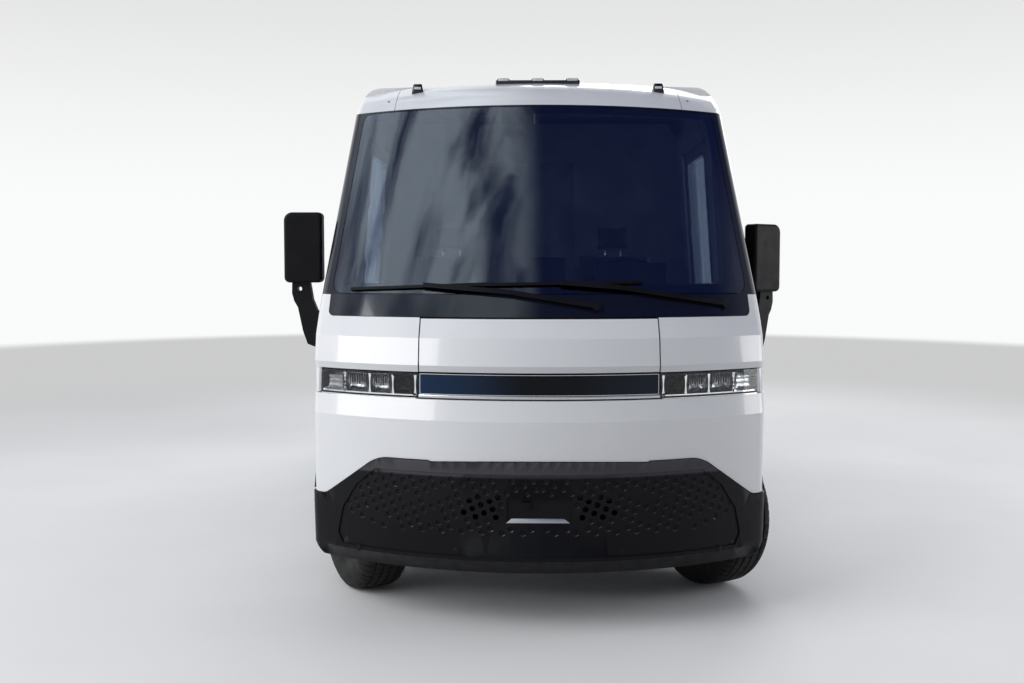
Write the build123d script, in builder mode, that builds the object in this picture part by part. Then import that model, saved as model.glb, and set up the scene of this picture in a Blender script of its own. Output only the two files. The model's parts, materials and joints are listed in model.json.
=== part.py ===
from build123d import *
import math
import os

os.makedirs("parts", exist_ok=True)

# Walk-in electric delivery van. Millimetres, X across (+X is the van's left), Y along, front at -Y, Z up.

# Overall proportions
overall_length = 6070.0
wheelbase = 3885.0
front_overhang = 960.0
half_width = 1115.0
shoulder_z = 1500.0
eave_z = 2600.0
eave_half_width = 1033.0
roof_top_z = 2795.0
crown_drop = 22.0
roof_corner_radius = 112.0

# Plan form of the front end
bow_radius = 1740.0
corner_radius = 80.0
nose_depth = 1500.0
form_depth = 2100.0

# Heights of the lines across the front
bumper_bottom_z = 284.0
bumper_lip_z = 354.0
bumper_top_z = 820.0
bumper_side_z = 610.0
fascia_crease_z = 1010.0
band_bottom_z = 1110.0
band_top_z = 1228.0
brow_height = 34.0
hood_crease_z = 1390.0
cowl_z = 1484.0
belt_z = 1590.0
glass_top_z = 2596.0
glass_base_setback = 206.0
glass_top_setback = 950.0

# Walls and clearances
panel_wall = 36.0
glass_wall = 6.0
carrier_wall = 26.0
bumper_proud = 10.0
bumper_wall = 36.0
seat_gap = 0.3
seam_gap = 4.0
moving_gap = 6.0
cargo_wall = 92.0
roof_wall = 45.0
cladding_proud = 10.0

# Side lines, as depths behind the foremost point
fascia_end = 520.0
lamp_end = 425.0
door_front = 1504.0
door_rear = 2300.0
door_bottom_z = 480.0
door_top_z = 2484.0
door_inset = 30.0
door_wall = 38.0
door_travel = 760.0
pocket_clearance = 8.0
sill_bottom_z = 330.0
sill_top_z = 470.0
waist_z = 620.0
bulkhead_depth = 2484.0
bulkhead_wall = 30.0
portal_depth = 112.0
rear_bumper_reach = 90.0
body_rear = overall_length - portal_depth - rear_bumper_reach

# Hood
hood_half_width = 562.0
hood_hinge_x = 80.0
hood_hinge_drop = 16.0

# Floor and frame
cab_floor_z = 640.0
cargo_floor_z = 680.0
floor_wall = 40.0
step_z = 480.0
tunnel_half_width = 563.0
rail_inner_x = 430.0
rail_outer_x = 530.0
rail_bottom_z = 500.0
rail_top_z = 599.7
beam_half_width = 590.0
battery_half_width = 700.0
battery_bottom_z = 250.0
battery_height = 210.0

# Wheels
wheel_z = 400.0
tyre_radius = 400.0
tyre_width = 270.0
rim_radius = 218.0
rim_width = 215.0
wheel_centre_x = 950.0
kingpin_x = 830.0
parked_steer = 28.0
front_arch_radius = 500.0
rear_arch_radius = 470.0
arch_inner_x = 740.0
arch_wall = 12.0
spindle_radius = 28.0
running_gap = 0.08
vent_count = 12

front_y = -overall_length / 2
rear_y = overall_length / 2
front_axle_y = front_y + front_overhang
rear_axle_y = front_axle_y + wheelbase
rear_axle_depth = front_overhang + wheelbase
portal_rear = body_rear + portal_depth

nose_profile = [
    (bumper_bottom_z, 110.0),
    (bumper_lip_z, 46.0),
    (560.0, 22.0),
    (bumper_top_z + 10.0, bumper_proud + 0.5),
    (fascia_crease_z, 0.0),
    (band_bottom_z - 4.0, 24.0),
    (band_bottom_z, 42.0),
    (band_top_z - 2.0, 46.0),
    (band_top_z + 2.0, 43.0),
    (band_top_z + 2.0 + brow_height, 26.0),
    (hood_crease_z, 58.0),
    (cowl_z, 132.0),
    (belt_z, glass_base_setback),
    (glass_top_z, glass_top_setback),
]


def at(depth):
    """Y of a point that many millimetres behind the foremost point."""
    return front_y + depth


def setback(z):
    """Depth of the front surface on the centre line at height z."""
    for (z0, s0), (z1, s1) in zip(nose_profile, nose_profile[1:]):
        if z <= z1:
            return s0 + (s1 - s0) * (z - z0) / (z1 - z0)
    return glass_top_setback


def side_x(z, inset=0.0):
    """Half width of the body at height z."""
    lean = (half_width - eave_half_width) / (eave_z - shoulder_z)
    return half_width - inset - max(0.0, z - shoulder_z) * lean


def body_prism(inset, depth0, depth1, z0=200.0):
    """Body cross-section, moved in by an inset, between two depths."""
    peak = roof_top_z - inset
    edge_z = peak - crown_drop
    foot = side_x(z0, inset)
    hip = side_x(shoulder_z, inset)
    top = side_x(edge_z, inset)
    with BuildPart() as prism:
        with BuildSketch(Plane.XZ.offset(-at(depth0))):
            with BuildLine():
                Polyline((-top, edge_z), (-hip, shoulder_z), (-foot, z0), (foot, z0), (hip, shoulder_z), (top, edge_z))
                ThreePointArc((top, edge_z), (0, peak), (-top, edge_z))
            make_face()
            fillet(vertices().group_by(Axis.Y)[-1], radius=roof_corner_radius - inset)
        extrude(amount=depth0 - depth1)
    return prism.part


def plan_section(z, depth, inset, end):
    """Bowed plan outline of the front end at height z."""
    w = side_x(z, inset) + 0.5
    r = bow_radius - inset
    y_mid = at(depth + inset)
    y_edge = y_mid + r - math.sqrt(r * r - w * w)
    with BuildSketch(Plane.XY.offset(z)) as outline:
        with BuildLine():
            ThreePointArc((-w, y_edge), (0, y_mid), (w, y_edge))
            Polyline((w, y_edge), (w, at(end)), (-w, at(end)), (-w, y_edge))
        make_face()
        fillet(vertices().group_by(Axis.Y)[0], radius=corner_radius - inset)
    return outline.sketch


def front_form(inset):
    """Solid of the whole front end, moved in by an inset."""
    rise = roof_top_z - glass_top_z
    run = nose_depth - glass_top_setback
    with BuildPart() as form:
        loft([plan_section(z, depth, inset, nose_depth) for z, depth in nose_profile], ruled=True)
        crown = []
        for t in (1.0, 0.8, 0.6, 0.4, 0.25, 0.12):
            z = roof_top_z - rise * t * t
            crown.append(plan_section(z, nose_depth - run * t, inset, form_depth))
        crown.append(plan_section(roof_top_z + 4.0, nose_depth, inset, form_depth))
        loft(crown)
        add(body_prism(inset, -60.0, form_depth + 100.0), mode=Mode.INTERSECT)
    return form.part


def front_cut(points, depth0, depth1, mode=Mode.INTERSECT):
    """Prism along Y from an outline in the front view, applied to the current part."""
    with BuildSketch(Plane.XZ.offset(-at(depth0))) as outline:
        with BuildLine():
            Polyline(*points, close=True)
        make_face()
    extrude(outline.sketch, amount=depth0 - depth1, mode=mode)


def side_cut(points, x0, x1, mode=Mode.INTERSECT):
    """Prism along X from an outline of (depth, height) points, applied to the current part."""
    with BuildSketch(Plane.YZ.offset(x0)) as outline:
        with BuildLine():
            Polyline(*[(at(depth), z) for depth, z in points], close=True)
        make_face()
    extrude(outline.sketch, amount=x1 - x0, mode=mode)


def block(x0, x1, depth0, depth1, z0, z1, mode=Mode.ADD):
    """Box between two places on each axis, applied to the current part."""
    with Locations(((x0 + x1) / 2, at((depth0 + depth1) / 2), (z0 + z1) / 2)):
        Box(x1 - x0, depth1 - depth0, z1 - z0, mode=mode)


def across(radius, depth, z, x0, x1, mode=Mode.ADD):
    """Cylinder along X, applied to the current part."""
    with Locations(Location(((x0 + x1) / 2, at(depth), z), (0, 90, 0))):
        Cylinder(radius, x1 - x0, mode=mode)


def upright(radius, x, y, z0, z1, mode=Mode.ADD):
    """Cylinder along Z, applied to the current part."""
    with Locations((x, y, (z0 + z1) / 2)):
        Cylinder(radius, z1 - z0, mode=mode)


def mirrored(piece):
    """The same piece on the other side of the vehicle."""
    with BuildPart() as other:
        mirror(piece, about=Plane.YZ)
    return other.part


# ---------------------------------------------------------------- skins of the front end
outer_form = front_form(0.0)
panel_back_form = front_form(panel_wall)
glass_back_form = front_form(glass_wall)
carrier_face_form = front_form(panel_wall + seat_gap)
carrier_back_form = front_form(panel_wall + carrier_wall)
bumper_face_form = front_form(-bumper_proud)
bumper_back_form = front_form(bumper_wall - bumper_proud)

with BuildPart() as panel_shell:
    add(outer_form)
    add(panel_back_form, mode=Mode.SUBTRACT)

with BuildPart() as glass_shell:
    add(outer_form)
    add(glass_back_form, mode=Mode.SUBTRACT)

with BuildPart() as bumper_shell:
    add(bumper_face_form)
    add(bumper_back_form, mode=Mode.SUBTRACT)


# ---------------------------------------------------------------- black front bumper
step_x = half_width - 609.0
bumper_step = 6.0


def bumper_outline(gap):
    """Front view of the bumper, with its shoulders dropping to the wheel arches."""
    reach = half_width + 100.0
    with BuildSketch(Plane.XZ.offset(-at(-80.0))) as outline:
        with BuildLine():
            Polyline(
                (-reach, bumper_bottom_z - 20.0),
                (reach, bumper_bottom_z - 20.0),
                (reach, bumper_side_z),
                (half_width - 65.0, bumper_side_z),
                (half_width - 345.0, bumper_top_z),
                (step_x + 14.0, bumper_top_z),
                (step_x, bumper_top_z - bumper_step),
            )
            ThreePointArc(
                (step_x, bumper_top_z - bumper_step),
                (0.0, bumper_top_z + bumper_step),
                (-step_x, bumper_top_z - bumper_step),
            )
            Polyline(
                (-step_x, bumper_top_z - bumper_step),
                (-step_x - 14.0, bumper_top_z),
                (345.0 - half_width, bumper_top_z),
                (65.0 - half_width, bumper_side_z),
                (-reach, bumper_side_z),
                (-reach, bumper_bottom_z - 20.0),
            )
        make_face()
        fillet([v for v in vertices() if abs(abs(v.X) - half_width + 345.0) < 1.0], radius=170.0)
        fillet([v for v in vertices() if abs(abs(v.X) - half_width + 65.0) < 1.0], radius=70.0)
        offset(amount=gap)
    return outline.sketch


field_top_z = 768.0
field_bottom_z = 372.0
field_depth = 6.0
cell_x = -284.5
cell_z = 660.8
cell_radius = 15.5
cell_pitch = 94.9
row_shift = -40.1
row_drop = 19.0
pierced_rows = ((0, 1), (0, 1), (1,), (1, 2), (1, 2), (2, 3))
plate_half_width = 150.0
plate_bottom_z = 540.0
plate_top_z = 655.0

field_face_form = front_form(field_depth - bumper_proud)

with BuildPart() as lower_bumper:
    add(bumper_shell.part)
    extrude(bumper_outline(0.0), amount=-700.0, mode=Mode.INTERSECT)
    block(-2000, 2000, -100, fascia_end, 0, 1000, mode=Mode.INTERSECT)
    across(front_arch_radius, front_overhang, wheel_z, -2000, 2000, mode=Mode.SUBTRACT)
    with BuildPart(mode=Mode.PRIVATE) as field:
        add(bumper_face_form)
        add(field_face_form, mode=Mode.SUBTRACT)
        front_cut(
            [
                (-960, field_bottom_z),
                (960, field_bottom_z),
                (985, 430),
                (955, 560),
                (880, 680),
                (780, field_top_z),
                (-780, field_top_z),
                (-880, 680),
                (-955, 560),
                (-985, 430),
            ],
            -80.0,
            600.0,
        )
    add(field.part, mode=Mode.SUBTRACT)
    with BuildSketch(Plane.XZ.offset(-at(-80.0))) as cells:
        for row, columns in enumerate(pierced_rows):
            for column in columns:
                x = cell_x + row * row_shift + column * cell_pitch
                with Locations((x, cell_z - row * row_drop), (-x, cell_z - row * row_drop)):
                    RegularPolygon(cell_radius, 6)
    extrude(cells.sketch, amount=-260.0, mode=Mode.SUBTRACT)
    block(-plate_half_width, plate_half_width, -80, 32, plate_bottom_z, plate_top_z, mode=Mode.SUBTRACT)
lower_bumper.part.label = "lower_bumper"
export_step(lower_bumper.part, "parts/lower_bumper.step")

# ---------------------------------------------------------------- white fascia below the lamps
with BuildPart() as front_fascia:
    add(panel_shell.part)
    block(-2000, 2000, -100, fascia_end, bumper_side_z, band_bottom_z - seam_gap, mode=Mode.INTERSECT)
    extrude(bumper_outline(seam_gap), amount=-700.0, mode=Mode.SUBTRACT)
    across(front_arch_radius, front_overhang, wheel_z, -2000, 2000, mode=Mode.SUBTRACT)
front_fascia.part.label = "front_fascia"
export_step(front_fascia.part, "parts/front_fascia.step")

# ---------------------------------------------------------------- band between the headlamps
lamp_inner_x = hood_half_width + 7.0

with BuildPart() as light_panel:
    add(panel_shell.part)
    block(
        1.0 - lamp_inner_x,
        lamp_inner_x - 1.0,
        -100,
        300,
        band_bottom_z,
        band_top_z - 2.0,
        mode=Mode.INTERSECT,
    )
light_panel.part.label = "light_panel"
export_step(light_panel.part, "parts/light_panel.step")

# ---------------------------------------------------------------- headlamps
unit_depth = 90.0

with BuildPart() as headlamp_lenses:
    add(glass_shell.part)
    block(lamp_inner_x, 1300, -100, lamp_end, band_bottom_z, band_top_z - 2.0, mode=Mode.INTERSECT)
    mirror(about=Plane.YZ)
headlamp_lenses.part.label = "headlamp_lenses"
export_step(headlamp_lenses.part, "parts/headlamp_lenses.step")

with BuildPart() as headlamp_units:
    add(glass_back_form.moved(Location((0, seat_gap, 0))))
    block(lamp_inner_x, 1300, -100, lamp_end, band_bottom_z, band_top_z - 2.0, mode=Mode.INTERSECT)
    add(glass_back_form.moved(Location((0, unit_depth, 0))), mode=Mode.SUBTRACT)
    add(body_prism(glass_wall + seat_gap, -60.0, 1000.0), mode=Mode.INTERSECT)
    with BuildPart(mode=Mode.PRIVATE) as bowl:
        add(glass_back_form)
        block(lamp_inner_x + 8, 1300, -100, lamp_end - 8, band_bottom_z + 8, band_top_z - 10.0, mode=Mode.INTERSECT)
        add(glass_back_form.moved(Location((0, unit_depth - 30.0, 0))), mode=Mode.SUBTRACT)
    add(bowl.part, mode=Mode.SUBTRACT)
    mirror(about=Plane.YZ)
headlamp_units.part.label = "headlamp_units"
export_step(headlamp_units.part, "parts/headlamp_units.step")

# ---------------------------------------------------------------- fenders
cowl_half_width = half_width - 63.0
cowl_corner = 28.0
cowl_gap = 3.0


def cowl_outline(inset):
    """Front view of the black cowl and all that lies above it."""
    w = cowl_half_width - inset
    with BuildSketch(Plane.XZ.offset(-at(-100.0))) as outline:
        with BuildLine():
            Polyline(
                (-w, cowl_z + inset),
                (w, cowl_z + inset),
                (w, belt_z),
                (2000.0, belt_z),
                (2000.0, 3000.0),
                (-2000.0, 3000.0),
                (-2000.0, belt_z),
                (-w, belt_z),
                close=True,
            )
        make_face()
        fillet(vertices().group_by(Axis.Y)[0], radius=cowl_corner)
    return outline.sketch


with BuildPart() as fender_left:
    add(panel_shell.part)
    side_cut(
        [
            (-60, band_top_z + 4.0),
            (lamp_end + seam_gap, band_top_z + 4.0),
            (lamp_end + seam_gap, band_bottom_z),
            (fascia_end + seam_gap, band_bottom_z),
            (fascia_end + seam_gap, waist_z),
            (door_front - seam_gap, waist_z),
            (door_front - seam_gap, belt_z - 2.0),
            (-60, belt_z - 2.0),
        ],
        hood_half_width + moving_gap,
        1300,
    )
    extrude(cowl_outline(0.0), amount=-800.0, mode=Mode.SUBTRACT)
    across(front_arch_radius, front_overhang, wheel_z, 0, 2000, mode=Mode.SUBTRACT)
fender_left.part.label = "fender_left"
export_step(fender_left.part, "parts/fender_left.step")

fender_right = mirrored(fender_left.part)
fender_right.label = "fender_right"
export_step(fender_right, "parts/fender_right.step")

# ---------------------------------------------------------------- hood
hood_top_z = cowl_z - 5.0
hinge_z = hood_top_z - hood_hinge_drop
hinge_depth = setback(hinge_z) + 21.0
hinge_pin_radius = 5.0
hinge_barrel_radius = 8.0
hinge_pocket = 60.0
hinge_arm = 40.0
hinge_arm_rise = 0.5
hood_foot_gap = 7.6

with BuildPart() as hood:
    add(panel_shell.part)
    block(-hood_half_width, hood_half_width, -100, 400, band_top_z - 2.0 + hood_foot_gap, hood_top_z, mode=Mode.INTERSECT)
    for side in (-1, 1):
        x0 = side * hood_hinge_x - hinge_pocket / 2
        x1 = x0 + hinge_pocket
        block(x0, x1, hinge_depth + 2, 400, hinge_z - 40, hood_top_z + 10, mode=Mode.SUBTRACT)
        across(hinge_barrel_radius + 4, hinge_depth, hinge_z, x0, x1, mode=Mode.SUBTRACT)
        across(hinge_pin_radius, hinge_depth, hinge_z, x0 - 20, x1 + 20)
hood.part.label = "hood"
export_step(hood.part, "parts/hood.step")

# ---------------------------------------------------------------- windshield, its frame and the quarter windows
pillar_width = 62.0
flange_width = 40.0
rest_lap = 3.0


def windshield_outline(gap):
    """Front view of the windshield, grown by a gap."""
    with BuildSketch(Plane.XZ.offset(-at(-80.0))) as outline:
        with BuildLine():
            low = side_x(belt_z) - pillar_width
            high = side_x(glass_top_z) - pillar_width
            Polyline(
                (-low, belt_z + 6.0),
                (low, belt_z + 6.0),
                (high, glass_top_z - 12.0),
                (-high, glass_top_z - 12.0),
                close=True,
            )
        make_face()
        fillet(vertices(), radius=55.0)
        offset(amount=gap)
    return outline.sketch


def quarter_outline(gap):
    """Side view of the quarter window, grown by a gap."""
    with BuildSketch(Plane.YZ.offset(600.0)) as outline:
        with BuildLine():
            Polyline(
                (at(760.0), belt_z + 60.0),
                (at(1440.0), belt_z + 60.0),
                (at(1440.0), 2420.0),
                (at(1325.0), 2420.0),
                close=True,
            )
        make_face()
        fillet(vertices(), radius=30.0)
        offset(amount=gap)
    return outline.sketch


with BuildPart() as windshield:
    add(glass_shell.part)
    extrude(windshield_outline(0.0), amount=-1600.0, mode=Mode.INTERSECT)
windshield.part.label = "windshield"
export_step(windshield.part, "parts/windshield.step")

with BuildPart() as quarter_glass:
    add(glass_shell.part)
    extrude(quarter_outline(0.0), amount=700.0, mode=Mode.INTERSECT)
    mirror(about=Plane.YZ)
quarter_glass.part.label = "quarter_glass"
export_step(quarter_glass.part, "parts/quarter_glass.step")

with BuildPart() as glass_bed:
    add(outer_form)
    add(front_form(glass_wall + seat_gap), mode=Mode.SUBTRACT)

with BuildPart() as windshield_bed:
    add(glass_bed.part)
    extrude(windshield_outline(rest_lap), amount=-1600.0, mode=Mode.INTERSECT)

with BuildPart() as quarter_bed:
    add(glass_bed.part)
    extrude(quarter_outline(rest_lap), amount=700.0, mode=Mode.INTERSECT)
    mirror(about=Plane.YZ)

with BuildPart() as windshield_frame:
    add(panel_shell.part)
    block(-2000, 2000, -100, door_front - seam_gap, cowl_z, glass_top_z - seat_gap, mode=Mode.INTERSECT)
    extrude(cowl_outline(cowl_gap), amount=-1700.0, mode=Mode.INTERSECT)
    block(-2000, 2000, 700, 1600, 1400, belt_z, mode=Mode.SUBTRACT)
    add(windshield_bed.part, mode=Mode.SUBTRACT)
    add(quarter_bed.part, mode=Mode.SUBTRACT)
    extrude(windshield_outline(-flange_width), amount=-1600.0, mode=Mode.SUBTRACT)
    for sketch in (quarter_outline(-20.0), mirror(quarter_outline(-20.0), about=Plane.YZ, mode=Mode.PRIVATE)):
        extrude(sketch, amount=700.0 if sketch.center().X > 0 else -700.0, mode=Mode.SUBTRACT)
windshield_frame.part.label = "windshield_frame"
export_step(windshield_frame.part, "parts/windshield_frame.step")

# ---------------------------------------------------------------- roof header in three panels
header_seam_x = 794.0

with BuildPart() as roof_header:
    add(panel_shell.part)
    block(-2000, 2000, 0, nose_depth, glass_top_z, 3000, mode=Mode.INTERSECT)
    for side in (-1, 1):
        block(side * header_seam_x - 1.5, side * header_seam_x + 1.5, 0, nose_depth + 10, 2500, 3000, mode=Mode.SUBTRACT)
roof_header.part.label = "roof_header"
export_step(roof_header.part, "parts/roof_header.step")

# ---------------------------------------------------------------- inner frame that carries the front panels
with BuildPart() as front_structure:
    add(carrier_face_form)
    add(carrier_back_form, mode=Mode.SUBTRACT)
    block(-2000, 2000, -100, door_front - seam_gap, 500, belt_z - 4.0, mode=Mode.INTERSECT)
    across(front_arch_radius + arch_wall + seat_gap, front_overhang, wheel_z, -2000, 2000, mode=Mode.SUBTRACT)
    aperture = hood_half_width + moving_gap + 4.0
    block(-aperture, aperture, -100, 500, band_top_z, hood_top_z + moving_gap, mode=Mode.SUBTRACT)
    for x in (-hood_hinge_x, hood_hinge_x):
        x0, x1 = x - hinge_arm / 2, x + hinge_arm / 2
        with BuildPart(mode=Mode.PRIVATE) as leg:
            block(x0, x1, hinge_depth + 45, hinge_depth + 66, hinge_z - 8, hinge_z + 50)
            add(carrier_face_form, mode=Mode.INTERSECT)
        add(leg.part)
        across(hinge_barrel_radius, hinge_depth, hinge_z, x0, x1)
        block(x0, x1, hinge_depth, hinge_depth + 60, hinge_z - 8, hinge_z + hinge_arm_rise)
        across(hinge_pin_radius + running_gap, hinge_depth, hinge_z, x0 - 10, x1 + 10, mode=Mode.SUBTRACT)
    with BuildPart(mode=Mode.PRIVATE) as pads:
        add(front_form(bumper_wall - bumper_proud + seat_gap))
        add(carrier_back_form, mode=Mode.SUBTRACT)
        with BuildPart(mode=Mode.PRIVATE) as pad_places:
            for x in (-700, 700):
                block(x - 60, x + 60, -100, 500, 520, 590)
        add(pad_places.part, mode=Mode.INTERSECT)
    add(pads.part)
    for side in (-1, 1):
        x0, x1 = (lamp_inner_x - seat_gap, 1300) if side > 0 else (-1300, seat_gap - lamp_inner_x)
        z0, z1 = band_bottom_z - seat_gap, band_top_z - 2.0 + seat_gap
        block(x0, x1, -100, lamp_end + seat_gap, z0, z1, mode=Mode.SUBTRACT)
    block(-beam_half_width - 12, beam_half_width + 12, -100, 400, 490, 660, mode=Mode.SUBTRACT)
    block(-2000, 2000, door_front - 60, door_front, 0, waist_z + 2, mode=Mode.SUBTRACT)
front_structure.part.label = "front_structure"
export_step(front_structure.part, "parts/front_structure.step")

# ---------------------------------------------------------------- chassis frame
rail_nose = 250.0
rail_end = body_rear - 70.0
cross_depths = (620.0, 1330.0, 2480.0, 3500.0, 4330.0, 5360.0)

with BuildPart() as chassis_frame:
    for side in (-1, 1):
        x0 = rail_inner_x if side > 0 else -rail_outer_x
        block(x0, x0 + rail_outer_x - rail_inner_x, rail_nose, rail_end, rail_bottom_z, rail_top_z)
    for depth in cross_depths:
        block(-rail_inner_x, rail_inner_x, depth, depth + 70, rail_bottom_z + 10, rail_top_z - 10)
    block(-beam_half_width, beam_half_width, rail_nose - 70, rail_nose, rail_bottom_z, rail_top_z)
    block(-640, 640, rail_end, body_rear, rail_bottom_z, rail_top_z)
chassis_frame.part.label = "chassis_frame"
export_step(chassis_frame.part, "parts/chassis_frame.step")

# ---------------------------------------------------------------- battery and front drive unit
battery_front = 1550.0
battery_rear = 4200.0

with BuildPart() as battery_pack:
    with Locations((0, at((battery_front + battery_rear) / 2), battery_bottom_z + battery_height / 2)):
        Box(2 * battery_half_width, battery_rear - battery_front, battery_height)
    chamfer(edges().filter_by(Axis.Z), length=40)
    chamfer(faces().sort_by(Axis.Z)[0].edges(), length=15)
    for x in (-rail_outer_x + 50, rail_outer_x - 50):
        for depth in (1700, 2900, 4050):
            block(x - 25, x + 25, depth - 40, depth + 40, battery_bottom_z + battery_height - 5, rail_bottom_z - seat_gap)
battery_pack.part.label = "battery_pack"
export_step(battery_pack.part, "parts/battery_pack.step")

# ---------------------------------------------------------------- cab floor, firewall, step wells and wheel housings
firewall_depth = 1100.0
firewall_top_z = 1200.0
floor_half_width = side_x(cargo_floor_z, cargo_wall) - seat_gap

with BuildPart() as cab_floor:
    with BuildSketch(Plane.XZ.offset(-at(door_front))):
        with BuildLine():
            Polyline(
                (-floor_half_width, step_z - floor_wall),
                (-floor_half_width, step_z),
                (-arch_inner_x - 20, step_z),
                (-arch_inner_x - 20, cab_floor_z),
                (arch_inner_x + 20, cab_floor_z),
                (arch_inner_x + 20, step_z),
                (floor_half_width, step_z),
                (floor_half_width, step_z - floor_wall),
                (arch_inner_x - 20, step_z - floor_wall),
                (arch_inner_x - 20, cab_floor_z - floor_wall),
                (20 - arch_inner_x, cab_floor_z - floor_wall),
                (20 - arch_inner_x, step_z - floor_wall),
                close=True,
            )
        make_face()
    extrude(amount=door_front - door_rear)
    block(-floor_half_width, floor_half_width, door_rear, bulkhead_depth + bulkhead_wall, cab_floor_z - floor_wall, cab_floor_z)
    for side in (-1, 1):
        x0, x1 = (arch_inner_x - 20, floor_half_width) if side > 0 else (-floor_half_width, 20 - arch_inner_x)
        block(x0, x1, door_rear, door_rear + 20, step_z - floor_wall, cab_floor_z)
    block(-tunnel_half_width, tunnel_half_width, firewall_depth, door_front, cab_floor_z - floor_wall, cab_floor_z)
    block(-tunnel_half_width, tunnel_half_width, firewall_depth, firewall_depth + 30, cab_floor_z, firewall_top_z)
    for side in (-1, 1):
        skin = side_x(wheel_z, panel_wall) - seat_gap
        x0, x1 = (tunnel_half_width, skin) if side > 0 else (-skin, -tunnel_half_width)
        with BuildPart(mode=Mode.PRIVATE) as housing:
            across(front_arch_radius + arch_wall, front_overhang, wheel_z, x0, x1)
            hollow = (x0 + arch_wall, x1) if side > 0 else (x0, x1 - arch_wall)
            across(front_arch_radius, front_overhang, wheel_z, *hollow, mode=Mode.SUBTRACT)
            block(-2000, 2000, 0, 3000, 560, 2000, mode=Mode.INTERSECT)
            add(carrier_face_form, mode=Mode.INTERSECT)
        add(housing.part)
        top = wheel_z + front_arch_radius
        inner = side_x(wheel_z, panel_wall + carrier_wall) - seat_gap
        x0, x1 = (tunnel_half_width, inner) if side > 0 else (-inner, -tunnel_half_width)
        block(x0, x1, firewall_depth, firewall_depth + 30, top, firewall_top_z)
cab_floor.part.label = "cab_floor"
export_step(cab_floor.part, "parts/cab_floor.step")

# ---------------------------------------------------------------- cargo floor with rear wheel housings
cargo_front = bulkhead_depth + bulkhead_wall + seat_gap
bearer_depths = (2700.0, 3260.0, 3860.0, 4400.0, 5000.0, 5560.0)
rack_depth = 3690.0
rack_spacing_x = 700.0
rack_spacing_y = 240.0
rack_hole_radius = 5.5

with BuildPart() as cargo_floor:
    block(-floor_half_width, floor_half_width, cargo_front, body_rear, cargo_floor_z - floor_wall, cargo_floor_z)
    for depth in bearer_depths:
        block(-floor_half_width, floor_half_width, depth, depth + 60, rail_top_z + seat_gap, cargo_floor_z - floor_wall)
    for side in (-1, 1):
        x0, x1 = (arch_inner_x, floor_half_width) if side > 0 else (-floor_half_width, -arch_inner_x)
        with BuildPart(mode=Mode.PRIVATE) as housing:
            across(rear_arch_radius + arch_wall, rear_axle_depth, wheel_z, x0, x1)
            block(-1600, 1600, 2000, 7000, cargo_floor_z - floor_wall, 2000, mode=Mode.INTERSECT)
        add(housing.part)
        x0, x1 = (arch_inner_x + arch_wall, 1600) if side > 0 else (-1600, -arch_inner_x - arch_wall)
        across(rear_arch_radius, rear_axle_depth, wheel_z, x0, x1, mode=Mode.SUBTRACT)
    with Locations((0, at(rack_depth), cargo_floor_z)):
        with GridLocations(rack_spacing_x, rack_spacing_y, 2, 2):
            Hole(rack_hole_radius, depth=floor_wall)
cargo_floor.part.label = "cargo_floor"
export_step(cargo_floor.part, "parts/cargo_floor.step")

# ---------------------------------------------------------------- cargo sides with door pockets
slot_outer = door_inset - pocket_clearance
slot_inner = door_inset + door_wall + pocket_clearance
pocket_rear = door_rear + door_travel + 20.0
pocket_top_z = door_top_z + 6.0
door_header_z = door_top_z - 20.0

with BuildPart() as wall_shell:
    add(body_prism(0.0, door_front, body_rear))
    add(body_prism(cargo_wall, door_front - 10, body_rear + 10), mode=Mode.SUBTRACT)
    block(0, 2000, 1000, 7000, 0, eave_z, mode=Mode.INTERSECT)

with BuildPart() as pocket:
    add(body_prism(slot_outer, door_front - 10, pocket_rear))
    add(body_prism(slot_inner, door_front - 20, pocket_rear + 10), mode=Mode.SUBTRACT)
    block(0, 2000, 1000, 7000, sill_top_z, pocket_top_z, mode=Mode.INTERSECT)

with BuildPart() as cargo_side_left:
    add(wall_shell.part)
    side_cut(
        [
            (door_rear + seam_gap, waist_z),
            (body_rear, waist_z),
            (body_rear, eave_z),
            (door_front, eave_z),
            (door_front, door_header_z),
            (door_rear + seam_gap, door_header_z),
        ],
        0,
        1300,
    )
    add(pocket.part, mode=Mode.SUBTRACT)
    across(rear_arch_radius, rear_axle_depth, wheel_z, 0, 2000, mode=Mode.SUBTRACT)
    across(rear_arch_radius + arch_wall + seat_gap, rear_axle_depth, wheel_z, 0, floor_half_width + seat_gap, mode=Mode.SUBTRACT)
cargo_side_left.part.label = "cargo_side_left"
export_step(cargo_side_left.part, "parts/cargo_side_left.step")

cargo_side_right = mirrored(cargo_side_left.part)
cargo_side_right.label = "cargo_side_right"
export_step(cargo_side_right, "parts/cargo_side_right.step")

# ---------------------------------------------------------------- black cladding along the sills and round the arches
flare_width = 46.0

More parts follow.
